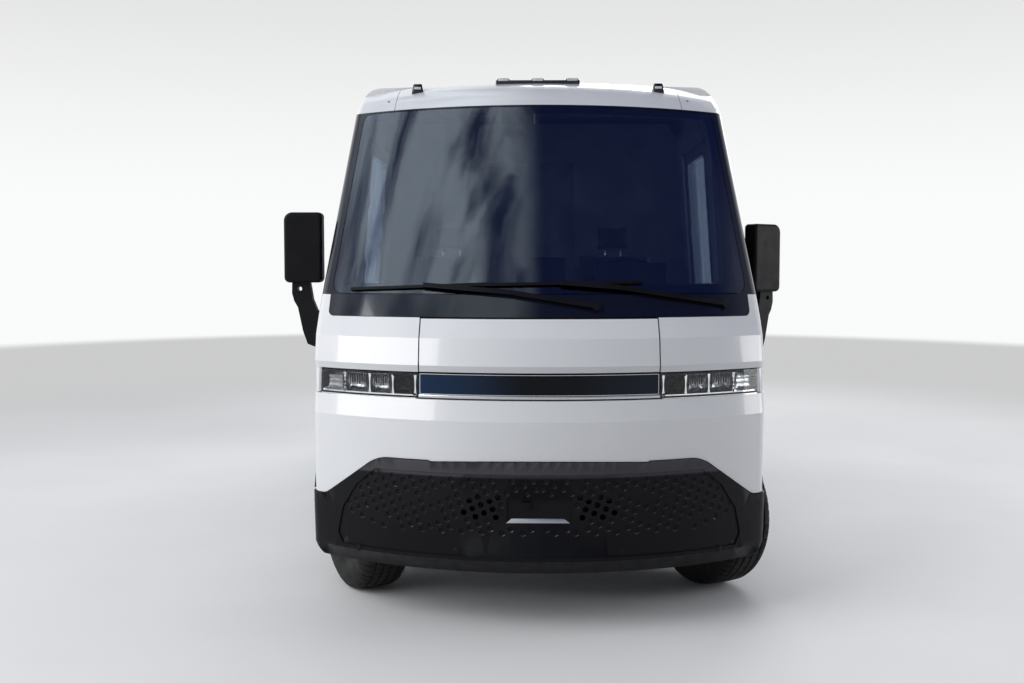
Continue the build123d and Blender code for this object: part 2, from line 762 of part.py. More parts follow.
with BuildPart() as side_cladding:
    add(body_prism(-cladding_proud, door_front - 40, body_rear))
    add(body_prism(cargo_wall, door_front - 50, body_rear + 10), mode=Mode.SUBTRACT)
    block(0, 2000, 1000, 7000, sill_bottom_z, waist_z - seat_gap, mode=Mode.INTERSECT)
    block(0, 2000, door_front, door_rear, sill_top_z, waist_z, mode=Mode.SUBTRACT)
    add(pocket.part, mode=Mode.SUBTRACT)
    across(rear_arch_radius, rear_axle_depth, wheel_z, 0, 2000, mode=Mode.SUBTRACT)
    with BuildPart(mode=Mode.PRIVATE) as flare:
        add(body_prism(-cladding_proud, 0, body_rear))
        add(body_prism(-seat_gap, -10, body_rear + 10), mode=Mode.SUBTRACT)
        with BuildPart(mode=Mode.PRIVATE) as rings:
            across(front_arch_radius + flare_width, front_overhang, wheel_z, 0, 2000)
            across(rear_arch_radius + flare_width, rear_axle_depth, wheel_z, 0, 2000)
            across(front_arch_radius, front_overhang, wheel_z, -10, 2010, mode=Mode.SUBTRACT)
            across(rear_arch_radius, rear_axle_depth, wheel_z, -10, 2010, mode=Mode.SUBTRACT)
            block(0, 2000, 0, 7000, waist_z + 2.0, 2000, mode=Mode.INTERSECT)
        add(rings.part, mode=Mode.INTERSECT)
    add(flare.part)
    mirror(about=Plane.YZ)
side_cladding.part.label = "side_cladding"
export_step(side_cladding.part, "parts/side_cladding.step")

# ---------------------------------------------------------------- roof
with BuildPart() as roof:
    add(body_prism(0.0, door_front, body_rear))
    add(body_prism(roof_wall, door_front - 10, body_rear + 10), mode=Mode.SUBTRACT)
    block(-2000, 2000, 1000, 7000, eave_z + seat_gap, 3000, mode=Mode.INTERSECT)
roof.part.label = "roof"
export_step(roof.part, "parts/roof.step")

# ---------------------------------------------------------------- rear portal, doors and bumper
opening_half_width = 905.0
opening_bottom_z = 694.0
opening_top_z = 2566.0
rear_door_wall = 45.0
rear_hinge_y = at(portal_rear) + 15.0
rear_hinge_x = opening_half_width + 3.0
rear_hinge_radius = 12.0
rear_pin_radius = 6.0
rear_hinge_heights = (980.0, 1640.0, 2300.0)
stop_width = 36.0

with BuildPart() as rear_frame:
    add(body_prism(0.0, body_rear + seat_gap, portal_rear))
    block(-2000, 2000, 0, 7000, waist_z - 20, 3000, mode=Mode.INTERSECT)
    block(
        -opening_half_width + stop_width,
        opening_half_width - stop_width,
        0,
        7000,
        opening_bottom_z + stop_width,
        opening_top_z - stop_width,
        mode=Mode.SUBTRACT,
    )
    block(
        -opening_half_width,
        opening_half_width,
        portal_rear - rear_door_wall - moving_gap,
        7000,
        opening_bottom_z,
        opening_top_z,
        mode=Mode.SUBTRACT,
    )
    for side in (-1, 1):
        for z in rear_hinge_heights:
            x0, x1 = (rear_hinge_x - 4, rear_hinge_x + 40) if side > 0 else (-rear_hinge_x - 40, -rear_hinge_x + 4)
            for z0, z1 in ((z - 48, z - 31), (z + 31, z + 48)):
                block(x0, x1, portal_rear, portal_rear + 15, z0, z1)
                upright(rear_hinge_radius, side * rear_hinge_x, rear_hinge_y, z0, z1)
            upright(rear_pin_radius, side * rear_hinge_x, rear_hinge_y, z - 48, z + 48)
rear_frame.part.label = "rear_frame"
export_step(rear_frame.part, "parts/rear_frame.step")

with BuildPart() as rear_door_left:
    block(
        3.0,
        opening_half_width - moving_gap,
        portal_rear - rear_door_wall,
        portal_rear,
        opening_bottom_z + moving_gap,
        opening_top_z - moving_gap,
    )
    block(60, 100, portal_rear - 14, portal_rear, 1450, 1690, mode=Mode.SUBTRACT)
    across(8, portal_rear - 8, 1570, 60, 100)
    for z in rear_hinge_heights:
        block(rear_hinge_x - 70, rear_hinge_x, portal_rear, portal_rear + 8, z - 30, z + 30)
        upright(rear_hinge_radius, rear_hinge_x, rear_hinge_y, z - 30, z + 30)
        upright(rear_pin_radius + running_gap, rear_hinge_x, rear_hinge_y, z - 32, z + 32, mode=Mode.SUBTRACT)
rear_door_left.part.label = "rear_door_left"
export_step(rear_door_left.part, "parts/rear_door_left.step")

rear_door_right = mirrored(rear_door_left.part)
rear_door_right.label = "rear_door_right"
export_step(rear_door_right, "parts/rear_door_right.step")

rear_bumper_top_z = waist_z - 24.0

with BuildPart() as rear_bumper:
    with BuildSketch(Plane.YZ.offset(-half_width)):
        with BuildLine():
            y0 = at(body_rear) + seat_gap
            y1 = rear_y
            Polyline(
                (y0, rear_bumper_top_z),
                (y1 - 18, rear_bumper_top_z),
                (y1, rear_bumper_top_z - 18),
                (y1, sill_bottom_z + 60),
                (y1 - 45, sill_bottom_z),
                (y0, sill_bottom_z),
                close=True,
            )
        make_face()
    extrude(amount=2 * half_width)
    fillet(edges().filter_by(Axis.Z).group_by(Axis.Y)[-1], radius=40)
    block(-2000, 2000, body_rear + 60, portal_rear + 20, sill_bottom_z - 5, rear_bumper_top_z - 40, mode=Mode.SUBTRACT)
rear_bumper.part.label = "rear_bumper"
export_step(rear_bumper.part, "parts/rear_bumper.step")

with BuildPart() as tail_lamps:
    for side in (-1, 1):
        with Locations((side * 1016, at(portal_rear) + 8 + seat_gap, 1480)):
            Box(88, 16, 560)
    fillet(edges().filter_by(Axis.Z).group_by(Axis.Y)[-1], radius=7)
tail_lamps.part.label = "tail_lamps"
export_step(tail_lamps.part, "parts/tail_lamps.step")

# ---------------------------------------------------------------- cab doors
shoe_depths = (1560.0, 2200.0)

with BuildPart() as door_slab:
    add(body_prism(door_inset, door_front + 4, door_rear))
    add(body_prism(door_inset + door_wall, door_front - 10, door_rear + 10), mode=Mode.SUBTRACT)
    block(0, 2000, 1000, 3000, door_bottom_z, door_top_z, mode=Mode.INTERSECT)


def door_window(gap):
    """Side view of the door window, grown by a gap."""
    with BuildSketch(Plane.YZ.offset(600.0)) as outline:
        with Locations((at((door_front + door_rear) / 2), (belt_z + 2400.0) / 2)):
            RectangleRounded(door_rear - door_front - 150 + 2 * gap, 2400.0 - belt_z + 2 * gap, 45.0 + gap)
    return outline.sketch


with BuildPart() as cab_door_glass_left:
    add(body_prism(door_inset + 4, door_front, door_rear))
    add(body_prism(door_inset + 4 + glass_wall, door_front - 10, door_rear + 10), mode=Mode.SUBTRACT)
    extrude(door_window(12.0), amount=700.0, mode=Mode.INTERSECT)
cab_door_glass_left.part.label = "cab_door_glass_left"
export_step(cab_door_glass_left.part, "parts/cab_door_glass_left.step")

cab_door_glass_right = mirrored(cab_door_glass_left.part)
cab_door_glass_right.label = "cab_door_glass_right"
export_step(cab_door_glass_right, "parts/cab_door_glass_right.step")

with BuildPart() as door_rebate:
    add(body_prism(door_inset - 1, door_front, door_rear))
    rebate = door_inset + 4 + glass_wall + seat_gap
    add(body_prism(rebate, door_front - 10, door_rear + 10), mode=Mode.SUBTRACT)
    extrude(door_window(12.0 + rest_lap), amount=700.0, mode=Mode.INTERSECT)

with BuildPart() as cab_door_left:
    add(door_slab.part)
    add(door_rebate.part, mode=Mode.SUBTRACT)
    extrude(door_window(0.0), amount=700.0, mode=Mode.SUBTRACT)
    face_x = side_x(1300) - door_inset
    block(face_x - 22, face_x + 10, 1536, 1590, 1240, 1460, mode=Mode.SUBTRACT)
    block(face_x - 14, face_x - 2, 1554, 1570, 1230, 1470)
    for depth in shoe_depths:
        block(face_x - 32, face_x - 6, depth, depth + 60, sill_top_z + seat_gap, door_bottom_z)
cab_door_left.part.label = "cab_door_left"
export_step(cab_door_left.part, "parts/cab_door_left.step")

cab_door_right = mirrored(cab_door_left.part)
cab_door_right.label = "cab_door_right"
export_step(cab_door_right, "parts/cab_door_right.step")

# ---------------------------------------------------------------- bulkhead and its sliding door
aisle_low_x = -350.0
aisle_high_x = 250.0
aisle_top_z = 2440.0

with BuildPart() as bulkhead:
    reach = cargo_wall + seat_gap
    front_cut(
        [
            (-side_x(cab_floor_z, reach), cab_floor_z + seat_gap),
            (side_x(cab_floor_z, reach), cab_floor_z + seat_gap),
            (side_x(shoulder_z, reach), shoulder_z),
            (side_x(eave_z, reach), eave_z),
            (880, 2700),
            (-880, 2700),
            (-side_x(eave_z, reach), eave_z),
            (-side_x(shoulder_z, reach), shoulder_z),
        ],
        bulkhead_depth,
        bulkhead_depth + bulkhead_wall,
        mode=Mode.ADD,
    )
    block(aisle_low_x, aisle_high_x, 0, 3000, cargo_floor_z + 10, aisle_top_z, mode=Mode.SUBTRACT)
    block(-440, 930, bulkhead_depth + bulkhead_wall, bulkhead_depth + bulkhead_wall + 60, 2530, 2570)
bulkhead.part.label = "bulkhead"
export_step(bulkhead.part, "parts/bulkhead.step")

inner_door_front = bulkhead_depth + bulkhead_wall + 8.0

with BuildPart() as bulkhead_door:
    block(
        aisle_low_x - 40,
        aisle_high_x + 40,
        inner_door_front,
        inner_door_front + 30,
        cargo_floor_z + 12,
        2518,
    )
    for x in (aisle_low_x, aisle_high_x - 60):
        block(x, x + 60, inner_door_front + 5, inner_door_front + 25, cargo_floor_z + seat_gap, cargo_floor_z + 12)
        block(x, x + 60, inner_door_front + 5, inner_door_front + 25, 2518, 2530 - seat_gap)
    block(aisle_low_x - 10, aisle_low_x + 10, inner_door_front + 30, inner_door_front + 60, 1300, 1600)
bulkhead_door.part.label = "bulkhead_door"
export_step(bulkhead_door.part, "parts/bulkhead_door.step")

# ---------------------------------------------------------------- dashboard, steering wheel and seats
dash_top_z = 1640.0
dash_wall = 24.0
dash_hollow_x = 960.0
wheel_x = 500.0
column_tilt = 35.0

with BuildPart() as dashboard:
    side_cut(
        [
            (300, 1560),
            (400, dash_top_z),
            (1070, dash_top_z),
            (1180, 1560),
            (1190, 1400),
            (1150, firewall_top_z + seat_gap),
            (900, firewall_top_z + seat_gap),
            (300, 1500),
        ],
        -1200,
        1200,
        mode=Mode.ADD,
    )
    add(front_form(panel_wall + carrier_wall + seat_gap), mode=Mode.INTERSECT)
    side_cut(
        [
            (420, dash_top_z - 70),
            (460, dash_top_z - dash_wall),
            (1060, dash_top_z - dash_wall),
            (1158, 1548),
            (1166, 1402),
            (1126, firewall_top_z - 50),
            (900 + dash_wall, firewall_top_z - 50),
            (900 + dash_wall, 1240),
            (420, 1516),
        ],
        -dash_hollow_x,
        dash_hollow_x,
        mode=Mode.SUBTRACT,
    )
    block(-120, 150, 1000, 1030, dash_top_z - 5, dash_top_z + 140)
    block(wheel_x - 190, wheel_x + 190, 960, 1060, dash_top_z - 5, dash_top_z + 110)
    with Locations(Location((wheel_x, at(1120), 1500), (90 + column_tilt, 0, 0))):
        Cylinder(45, 300, align=(Align.CENTER, Align.CENTER, Align.CENTER))
dashboard.part.label = "dashboard"
export_step(dashboard.part, "parts/dashboard.step")

column_end = 150.0 + seat_gap
rim_plane = Plane(Location((wheel_x, at(1120), 1500), (90 + column_tilt, 0, 0)))

rim_ring_radius = 205.0
rim_grip_radius = 15.0
hub_height = 60.0
hub_radius = 58.0

with BuildPart() as steering_wheel:
    with BuildSketch(rim_plane.offset(-column_end - hub_height)):
        Circle(hub_radius)
    extrude(amount=hub_height)
    with BuildSketch(rim_plane.offset(-column_end - 42)):
        Rectangle(2 * rim_ring_radius - 10, 40)
        with Locations((0, -rim_ring_radius / 2)):
            Rectangle(44, rim_ring_radius - 10)
        Circle(hub_radius, mode=Mode.SUBTRACT)
    extrude(amount=14)
    with BuildSketch(Plane(rim_plane.offset(-column_end - 35).origin, x_dir=rim_plane.x_dir, z_dir=rim_plane.y_dir)):
        with Locations((rim_ring_radius, 0)):
            RegularPolygon(rim_grip_radius, 8)
    revolve(axis=Axis(rim_plane.origin, rim_plane.z_dir))
steering_wheel.part.label = "steering_wheel"
export_step(steering_wheel.part, "parts/steering_wheel.step")

seat_xs = (wheel_x, -560.0)
seat_base_depth = 1640.0

with BuildPart() as seats:
    for x in seat_xs:
        side_cut(
            [
                (seat_base_depth, 1130),
                (seat_base_depth + 10, 1230),
                (seat_base_depth + 430, 1220),
                (seat_base_depth + 560, 1820),
                (seat_base_depth + 680, 1820),
                (seat_base_depth + 560, 1120),
            ],
            x - 240,
            x + 240,
            mode=Mode.ADD,
        )
        block(x - 110, x + 110, seat_base_depth + 570, seat_base_depth + 660, 1815, 2010)
        block(x - 190, x + 190, seat_base_depth + 80, seat_base_depth + 500, cab_floor_z + seat_gap, 1125)
seats.part.label = "seats"
export_step(seats.part, "parts/seats.step")

# ---------------------------------------------------------------- wheels
def outward(side, steer):
    """Direction of the axle's outer end."""
    angle = math.radians(steer)
    return Vector(side * math.cos(angle), side * math.sin(angle), 0)


def wheel_centre(side, axle_y, steer):
    """Centre of a wheel, turned about its kingpin."""
    arm = wheel_centre_x - kingpin_x
    return Vector(side * kingpin_x, axle_y, wheel_z) + outward(side, steer) * arm


def half_section(side, axle_y, steer):
    """Plane with x along the axle outward and y up."""
    out = outward(side, steer)
    return Plane(origin=wheel_centre(side, axle_y, steer), x_dir=out, z_dir=out.cross(Vector(0, 0, 1)))


def face_plane(side, axle_y, steer, reach):
    """Plane across the axle, looking outward, a distance out from the wheel's centre."""
    out = outward(side, steer)
    return Plane(origin=wheel_centre(side, axle_y, steer) + out * reach, x_dir=(0, 0, 1), z_dir=out)


def make_tyre(side, axle_y, steer):
    """Tyre with rounded shoulders and bulged sidewalls."""
    plane = half_section(side, axle_y, steer)
    half = tyre_width / 2
    tread = half - 32.0
    bead = rim_width / 2 - 6.0
    with BuildPart() as tyre:
        with BuildSketch(plane):
            with BuildLine():
                Polyline(
                    (-bead, rim_radius + 18),
                    (-bead, rim_radius + seat_gap),
                    (bead, rim_radius + seat_gap),
                    (bead, rim_radius + 18),
                )
                ThreePointArc((bead, rim_radius + 18), (half, 305), (tread + 14, tyre_radius - 24))
                ThreePointArc((tread + 14, tyre_radius - 24), (tread, tyre_radius - 9), (tread - 18, tyre_radius - 3))
                ThreePointArc((tread - 18, tyre_radius - 3), (0, tyre_radius), (18 - tread, tyre_radius - 3))
                ThreePointArc((18 - tread, tyre_radius - 3), (-tread, tyre_radius - 9), (-tread - 14, tyre_radius - 24))
                ThreePointArc((-tread - 14, tyre_radius - 24), (-half, 305), (-bead, rim_radius + 18))
            make_face()
        revolve(axis=Axis(plane.origin, plane.x_dir))
    return tyre.part


def make_wheel(side, axle_y, steer):
    """Rim, vented disc, hub and brake disc in one piece, bored for its spindle."""
    plane = half_section(side, axle_y, steer)
    half = rim_width / 2
    bore = spindle_radius + running_gap
    with BuildPart() as wheel:
        with BuildSketch(plane):
            with BuildLine():
                Polyline(
                    (-half, rim_radius + 14),
                    (-half + 5, rim_radius + 14),
                    (-half + 5, rim_radius),
                    (half - 5, rim_radius),
                    (half - 5, rim_radius + 14),
                    (half, rim_radius + 14),
                    (half, rim_radius - 10),
                    (half - 40, rim_radius - 14),
                    (58, rim_radius - 40),
                    (62, 130),
                    (78, 92),
                    (78, 72),
                    (92, 68),
                    (92, bore),
                    (-52, bore),
                    (-52, 66),
                    (-40, 66),
                    (-40, 160),
                    (-28, 160),
                    (-28, 70),
                    (50, 70),
                    (50, 120),
                    (46, rim_radius - 42),
                    (40, rim_radius - 14),
                    (-half + 6, rim_radius - 14),
                    (-half, rim_radius - 10),
                    close=True,
                )
            make_face()
        revolve(axis=Axis(plane.origin, plane.x_dir))
        with BuildSketch(face_plane(side, axle_y, steer, 100)):
            with PolarLocations(150, vent_count):
                SlotOverall(34, 20, rotation=90)
        extrude(amount=-70, mode=Mode.SUBTRACT)
    return wheel.part


stations = {
    "front_left": (1, front_axle_y, parked_steer),
    "front_right": (-1, front_axle_y, parked_steer),
    "rear_left": (1, rear_axle_y, 0.0),
    "rear_right": (-1, rear_axle_y, 0.0),
}
for place, (side, axle_y, steer) in stations.items():
    tyre = make_tyre(side, axle_y, steer)
    tyre.label = "tyre_" + place
    export_step(tyre, f"parts/tyre_{place}.step")
    wheel = make_wheel(side, axle_y, steer)
    wheel.label = "wheel_" + place
    export_step(wheel, f"parts/wheel_{place}.step")

# ---------------------------------------------------------------- steering knuckles
ball_drop = 118.0
ball_pin_radius = 12.0
upright_radius = 34.0
spindle_out = 84.0


def make_knuckle(side):
    """Upright with its spindle and steering arm, turned to the parked angle."""
    pin = Vector(side * kingpin_x, front_axle_y, wheel_z)
    out = outward(side, parked_steer)
    centre = wheel_centre(side, front_axle_y, parked_steer)
    reach = wheel_centre_x - kingpin_x
    with BuildPart() as knuckle:
        upright(upright_radius, pin.X, pin.Y, wheel_z - ball_drop + 20, wheel_z + ball_drop - 20)
        with BuildSketch(Plane(origin=pin, x_dir=(0, 0, 1), z_dir=out)):
            Circle(50)
        extrude(amount=reach - 58)
        with BuildSketch(Plane(origin=pin, x_dir=(0, 0, 1), z_dir=out)):
            Circle(spindle_radius)
        extrude(amount=reach + spindle_out)
        arm_plane = Plane(origin=pin + Vector(0, 0, -60), x_dir=out, z_dir=(0, 0, 1))
        with BuildSketch(arm_plane):
            with BuildLine():
                Polyline((-30, 0), (-52, side * 110), (-28, side * 118), (24, side * 20), close=True)
            make_face()
        extrude(amount=24)
        for z0, z1 in (
            (wheel_z - ball_drop + 10, wheel_z - ball_drop + 60),
            (wheel_z + ball_drop - 60, wheel_z + ball_drop - 10),
        ):
            upright(ball_pin_radius + running_gap, pin.X, pin.Y, z0, z1, mode=Mode.SUBTRACT)
    return knuckle.part


for side, name in ((1, "knuckle_left"), (-1, "knuckle_right")):
    knuckle = make_knuckle(side)
    knuckle.label = name
    export_step(knuckle, f"parts/{name}.step")

# ---------------------------------------------------------------- front suspension
arm_thickness = 26.0

with BuildPart() as suspension_front:
    for side in (-1, 1):
        for z, up in ((wheel_z - ball_drop, 1), (wheel_z + ball_drop, -1)):
            root = rail_outer_x + seat_gap if up < 0 else rail_outer_x - 40
            with BuildSketch(Plane.XY.offset(z - arm_thickness / 2)):
                with BuildLine():
                    Polyline(
                        (side * (kingpin_x + 34), front_axle_y - 34),
                        (side * (kingpin_x + 34), front_axle_y + 34),
                        (side * (rail_outer_x + 22), front_axle_y + 200),
                        (side * root, front_axle_y + 200),
                        (side * root, front_axle_y - 200),
                        (side * (rail_outer_x + 22), front_axle_y - 200),
                        close=True,
                    )
                make_face()
                with BuildLine():
                    Polyline(
                        (side * (kingpin_x - 80), front_axle_y - 16),
                        (side * (kingpin_x - 80), front_axle_y + 16),
                        (side * (rail_outer_x + 30), front_axle_y + 120),
                        (side * (rail_outer_x + 30), front_axle_y - 120),
                        close=True,
                    )
                make_face(mode=Mode.SUBTRACT)
            extrude(amount=arm_thickness)
            z0, z1 = sorted((z, z + up * 56))
            upright(ball_pin_radius, side * kingpin_x, front_axle_y, z0, z1)
        block(
            side * (rail_outer_x - 20) - 20,
            side * (rail_outer_x - 20) + 20,
            front_overhang - 200,
            front_overhang + 200,
            wheel_z - ball_drop - arm_thickness / 2,
            rail_bottom_z - seat_gap,
        )
    block(
        20 - rail_outer_x,
        rail_outer_x - 20,
        front_overhang - 60,
        front_overhang + 60,
        wheel_z - ball_drop - arm_thickness / 2,
        wheel_z - ball_drop + 50,
    )
suspension_front.part.label = "suspension_front"
export_step(suspension_front.part, "parts/suspension_front.step")

# ---------------------------------------------------------------- rear drive axle on leaf springs
spring_x = 620.0
spring_half_length = 620.0
spring_width = 70.0
spring_rise = 90.0

with BuildPart() as suspension_rear:
    across(52, rear_axle_depth, wheel_z, 8 - arch_inner_x - 90, arch_inner_x + 82)
    across(spindle_radius, rear_axle_depth, wheel_z, -wheel_centre_x - spindle_out, wheel_centre_x + spindle_out)
    across(120, rear_axle_depth, wheel_z, -190, 190)
    block(-170, 230, rear_axle_depth - 330, rear_axle_depth - 60, wheel_z - 130, wheel_z + 90)
    for side in (-1, 1):
        x0 = side * spring_x - spring_width / 2
        with BuildSketch(Plane.YZ.offset(x0)):
            with BuildLine():
                low = wheel_z - 52 - 20
                ends = low + spring_rise
                y0, y1 = rear_axle_y - spring_half_length, rear_axle_y + spring_half_length
                ThreePointArc((y0, ends), (rear_axle_y, low), (y1, ends))
                Line((y1, ends), (y1, ends + 24))
                ThreePointArc((y1, ends + 24), (rear_axle_y, low + 30), (y0, ends + 24))
                Line((y0, ends + 24), (y0, ends))
            make_face()
        extrude(amount=spring_width)
        for end in (-1, 1):
            y = rear_axle_y + end * (spring_half_length - 20)
            with Locations((side * (spring_x - 40), y, (ends + rail_bottom_z) / 2)):
                Box(150, 40, rail_bottom_z - seat_gap - ends)
suspension_rear.part.label = "suspension_rear"
export_step(suspension_rear.part, "parts/suspension_rear.step")

# ---------------------------------------------------------------- roof lamps
lamp_depth = 1330.0
lamp_rise = 16.0
lamp_top_z = roof_top_z + lamp_rise
lamp_bar_half = 242.0
lamp_pitch = 195.0
side_lamp_x = 680.0

with BuildPart() as roof_lamps:
    for x in (-side_lamp_x, side_lamp_x):
        block(x - 33, x + 33, lamp_depth - 45, lamp_depth + 45, roof_top_z - 60, roof_top_z + 2.0)
    chamfer(edges().filter_by(Axis.Y).group_by(Axis.Z)[-1], length=9)
    block(-lamp_bar_half, lamp_bar_half, lamp_depth - 30, lamp_depth + 30, roof_top_z - 60, lamp_top_z - 16)
    for x in (-lamp_pitch, 0.0, lamp_pitch):
        block(x - 40, x + 40, lamp_depth - 30, lamp_depth + 30, roof_top_z - 60, lamp_top_z)
    add(outer_form.moved(Location((0, 0, seat_gap))), mode=Mode.SUBTRACT)
roof_lamps.part.label = "roof_lamps"
export_step(roof_lamps.part, "parts/roof_lamps.step")

# ---------------------------------------------------------------- mirrors
mirror_width = 206.0
mirror_height = 378.0
mirror_thickness = 90.0
mirror_edge = 16.0
mirror_reach = 253.0
arm_breadth = 46.0
arm_hole_radius = 12.0
arm_hole_x = 22.0
arm_hole_z = -222.0
arm_outline = (
    (63.0, -160.0),
    (65.0, -246.0),
    (53.0, -289.0),
    (34.0, -322.0),
    (7.0, -452.0),
    (-17.0, -520.0),
    (-51.0, -534.0),
    (-205.0, -549.0),
    (-205.0, -384.0),
    (-71.0, -338.0),
    (-47.0, -279.0),
    (-28.0, -160.0),
)


def make_mirror():
    """Mirror head on its arm, outboard along +X, centred on the head."""
    half, tall = mirror_width / 2, mirror_height / 2
    with BuildPart() as piece:
        with BuildSketch(Plane.XZ.offset(-mirror_thickness / 2)):
            with BuildLine():
                Polyline((-half, -tall), (half, -tall), (half, tall), (-half, tall), close=True)
            make_face()
            fillet([v for v in vertices() if v.X > 0 and v.Y > 0], radius=46)
            fillet([v for v in vertices() if abs(abs(v.X) - half) < 0.1 and v.Y < 0], radius=28)
            fillet([v for v in vertices() if v.X < 0 and v.Y > 0], radius=22)
        extrude(amount=mirror_thickness)
        fillet(faces().filter_by(Axis.Y).edges(), radius=mirror_edge)
        with BuildSketch(Plane.XZ.offset(-arm_breadth / 2)):
            with BuildLine():
                Polyline(*arm_outline, close=True)
            make_face()
            with Locations((arm_hole_x, arm_hole_z)):
                Circle(arm_hole_radius, mode=Mode.SUBTRACT)
        extrude(amount=arm_breadth)
    return piece.part


mirror_head = make_mirror()
mirror_x = half_width + mirror_reach - mirror_width / 2
folded_mirror_x = half_width + 149.1
folded_mirror_turn = 35.0

with BuildPart() as mirrors:
    with BuildPart(mode=Mode.PRIVATE) as straight:
        mirror(mirror_head, about=Plane.YZ)
    add(straight.part.moved(Location((-mirror_x, at(956.0), 1834.5))))
    add(mirror_head.moved(Location((folded_mirror_x, at(1231.0), 1782.5), (0, 0, folded_mirror_turn))))
    add(body_prism(-seat_gap, 0, 3000), mode=Mode.SUBTRACT)
mirrors.part.label = "mirrors"
export_step(mirrors.part, "parts/mirrors.step")

# ---------------------------------------------------------------- wipers
blade_height = 12.0
arm_height = 22.0


def wiper_bar(points, width):
    """Front view of a bar along a broken line, as wide as given."""
    with BuildSketch(Plane.XZ.offset(-at(-80.0))) as bar:
        with BuildLine() as spine:
            Polyline(*points)
        trace(line_width=width)
    return bar.sketch


wiper_sets = (
    ((270.0, 1540.0), (-130.0, 1604.0), (-560.0, 1640.0), (-940.0, 1618.0), (-200.0, 1646.0)),
    ((920.0, 1548.0), (380.0, 1628.0), (105.0, 1650.0), (-290.0, 1640.0), (500.0, 1654.0)),
)

with BuildPart() as wipers:
    for pivot, knee, tip, low_end, high_end in wiper_sets:
        with BuildPart(mode=Mode.PRIVATE) as blade:
            add(outer_form.moved(Location((0, -blade_height, 0))))
            add(outer_form.moved(Location((0, -seat_gap, 0))), mode=Mode.SUBTRACT)
            extrude(wiper_bar((low_end, high_end), 14.0), amount=-900.0, mode=Mode.INTERSECT)
        with BuildPart(mode=Mode.PRIVATE) as arm:
            add(outer_form.moved(Location((0, -arm_height, 0))))
            add(outer_form.moved(Location((0, 1.0 - blade_height, 0))), mode=Mode.SUBTRACT)
            extrude(wiper_bar((pivot, knee, tip), 22.0), amount=-900.0, mode=Mode.INTERSECT)
        with BuildPart(mode=Mode.PRIVATE) as boss:
            add(outer_form.moved(Location((0, -arm_height, 0))))
            add(outer_form.moved(Location((0, -seat_gap, 0))), mode=Mode.SUBTRACT)
            with BuildSketch(Plane.XZ.offset(-at(-80.0))) as spot:
                with Locations(pivot):
                    Circle(20)
            extrude(spot.sketch, amount=-900.0, mode=Mode.INTERSECT)
        add(blade.part)
        add(arm.part)
        add(boss.part)
wipers.part.label = "wipers"
export_step(wipers.part, "parts/wipers.step")
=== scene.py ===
import bpy
import math
import random
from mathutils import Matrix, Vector
from mathutils.bvhtree import BVHTree
from mathutils.interpolate import poly_3d_calc
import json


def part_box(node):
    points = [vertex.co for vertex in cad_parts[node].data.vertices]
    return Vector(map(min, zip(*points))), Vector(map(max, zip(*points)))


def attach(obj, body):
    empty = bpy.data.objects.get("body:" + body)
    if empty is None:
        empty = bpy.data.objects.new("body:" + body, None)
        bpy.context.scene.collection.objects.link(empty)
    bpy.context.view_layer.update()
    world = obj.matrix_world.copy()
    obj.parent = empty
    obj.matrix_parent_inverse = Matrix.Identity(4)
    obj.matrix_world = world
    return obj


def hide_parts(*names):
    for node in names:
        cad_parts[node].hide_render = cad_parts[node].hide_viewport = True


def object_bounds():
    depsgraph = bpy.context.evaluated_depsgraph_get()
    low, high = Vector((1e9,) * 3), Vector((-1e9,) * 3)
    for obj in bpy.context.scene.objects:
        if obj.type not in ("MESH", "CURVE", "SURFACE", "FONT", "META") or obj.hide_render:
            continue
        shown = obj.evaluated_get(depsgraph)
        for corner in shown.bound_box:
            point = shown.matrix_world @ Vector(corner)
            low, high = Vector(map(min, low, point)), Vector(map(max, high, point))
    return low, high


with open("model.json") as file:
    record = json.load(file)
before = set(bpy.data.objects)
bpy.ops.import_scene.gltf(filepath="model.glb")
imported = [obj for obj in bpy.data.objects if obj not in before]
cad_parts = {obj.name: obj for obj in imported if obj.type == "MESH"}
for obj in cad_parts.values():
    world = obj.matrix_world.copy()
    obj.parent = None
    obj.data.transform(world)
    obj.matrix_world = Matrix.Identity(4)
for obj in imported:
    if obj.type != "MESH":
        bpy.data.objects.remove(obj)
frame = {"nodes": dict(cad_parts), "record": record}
nodes = frame["nodes"]
print("frame loaded:", len(nodes), "nodes")


def deselectAll():
    if bpy.context.mode != "OBJECT":
        bpy.ops.object.mode_set(mode="OBJECT")
    bpy.ops.object.select_all(action="DESELECT")


def pick(piece):
    deselectAll()
    piece.select_set(True)
    bpy.context.view_layer.objects.active = piece


deselectAll()
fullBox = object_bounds()

# camera: a low standing view from a few steps ahead of the nose, held a little to the vehicle's right
cameraSetup = {"x": -0.043, "ahead": 5.0, "height": 1.68, "lens": 38.67, "pitch": 3.397, "yaw": 0.937}
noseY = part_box("front_fascia")[0].y
bpy.ops.object.camera_add(location=(cameraSetup["x"], noseY - cameraSetup["ahead"], cameraSetup["height"]))
camera = bpy.context.object
camera.name = "streetCamera"
camera.rotation_euler = (math.radians(90 - cameraSetup["pitch"]), 0, math.radians(cameraSetup["yaw"]))
camera.data.sensor_width = 36
camera.data.lens = cameraSetup["lens"]
camera.data.clip_end = 500
bpy.context.scene.camera = camera

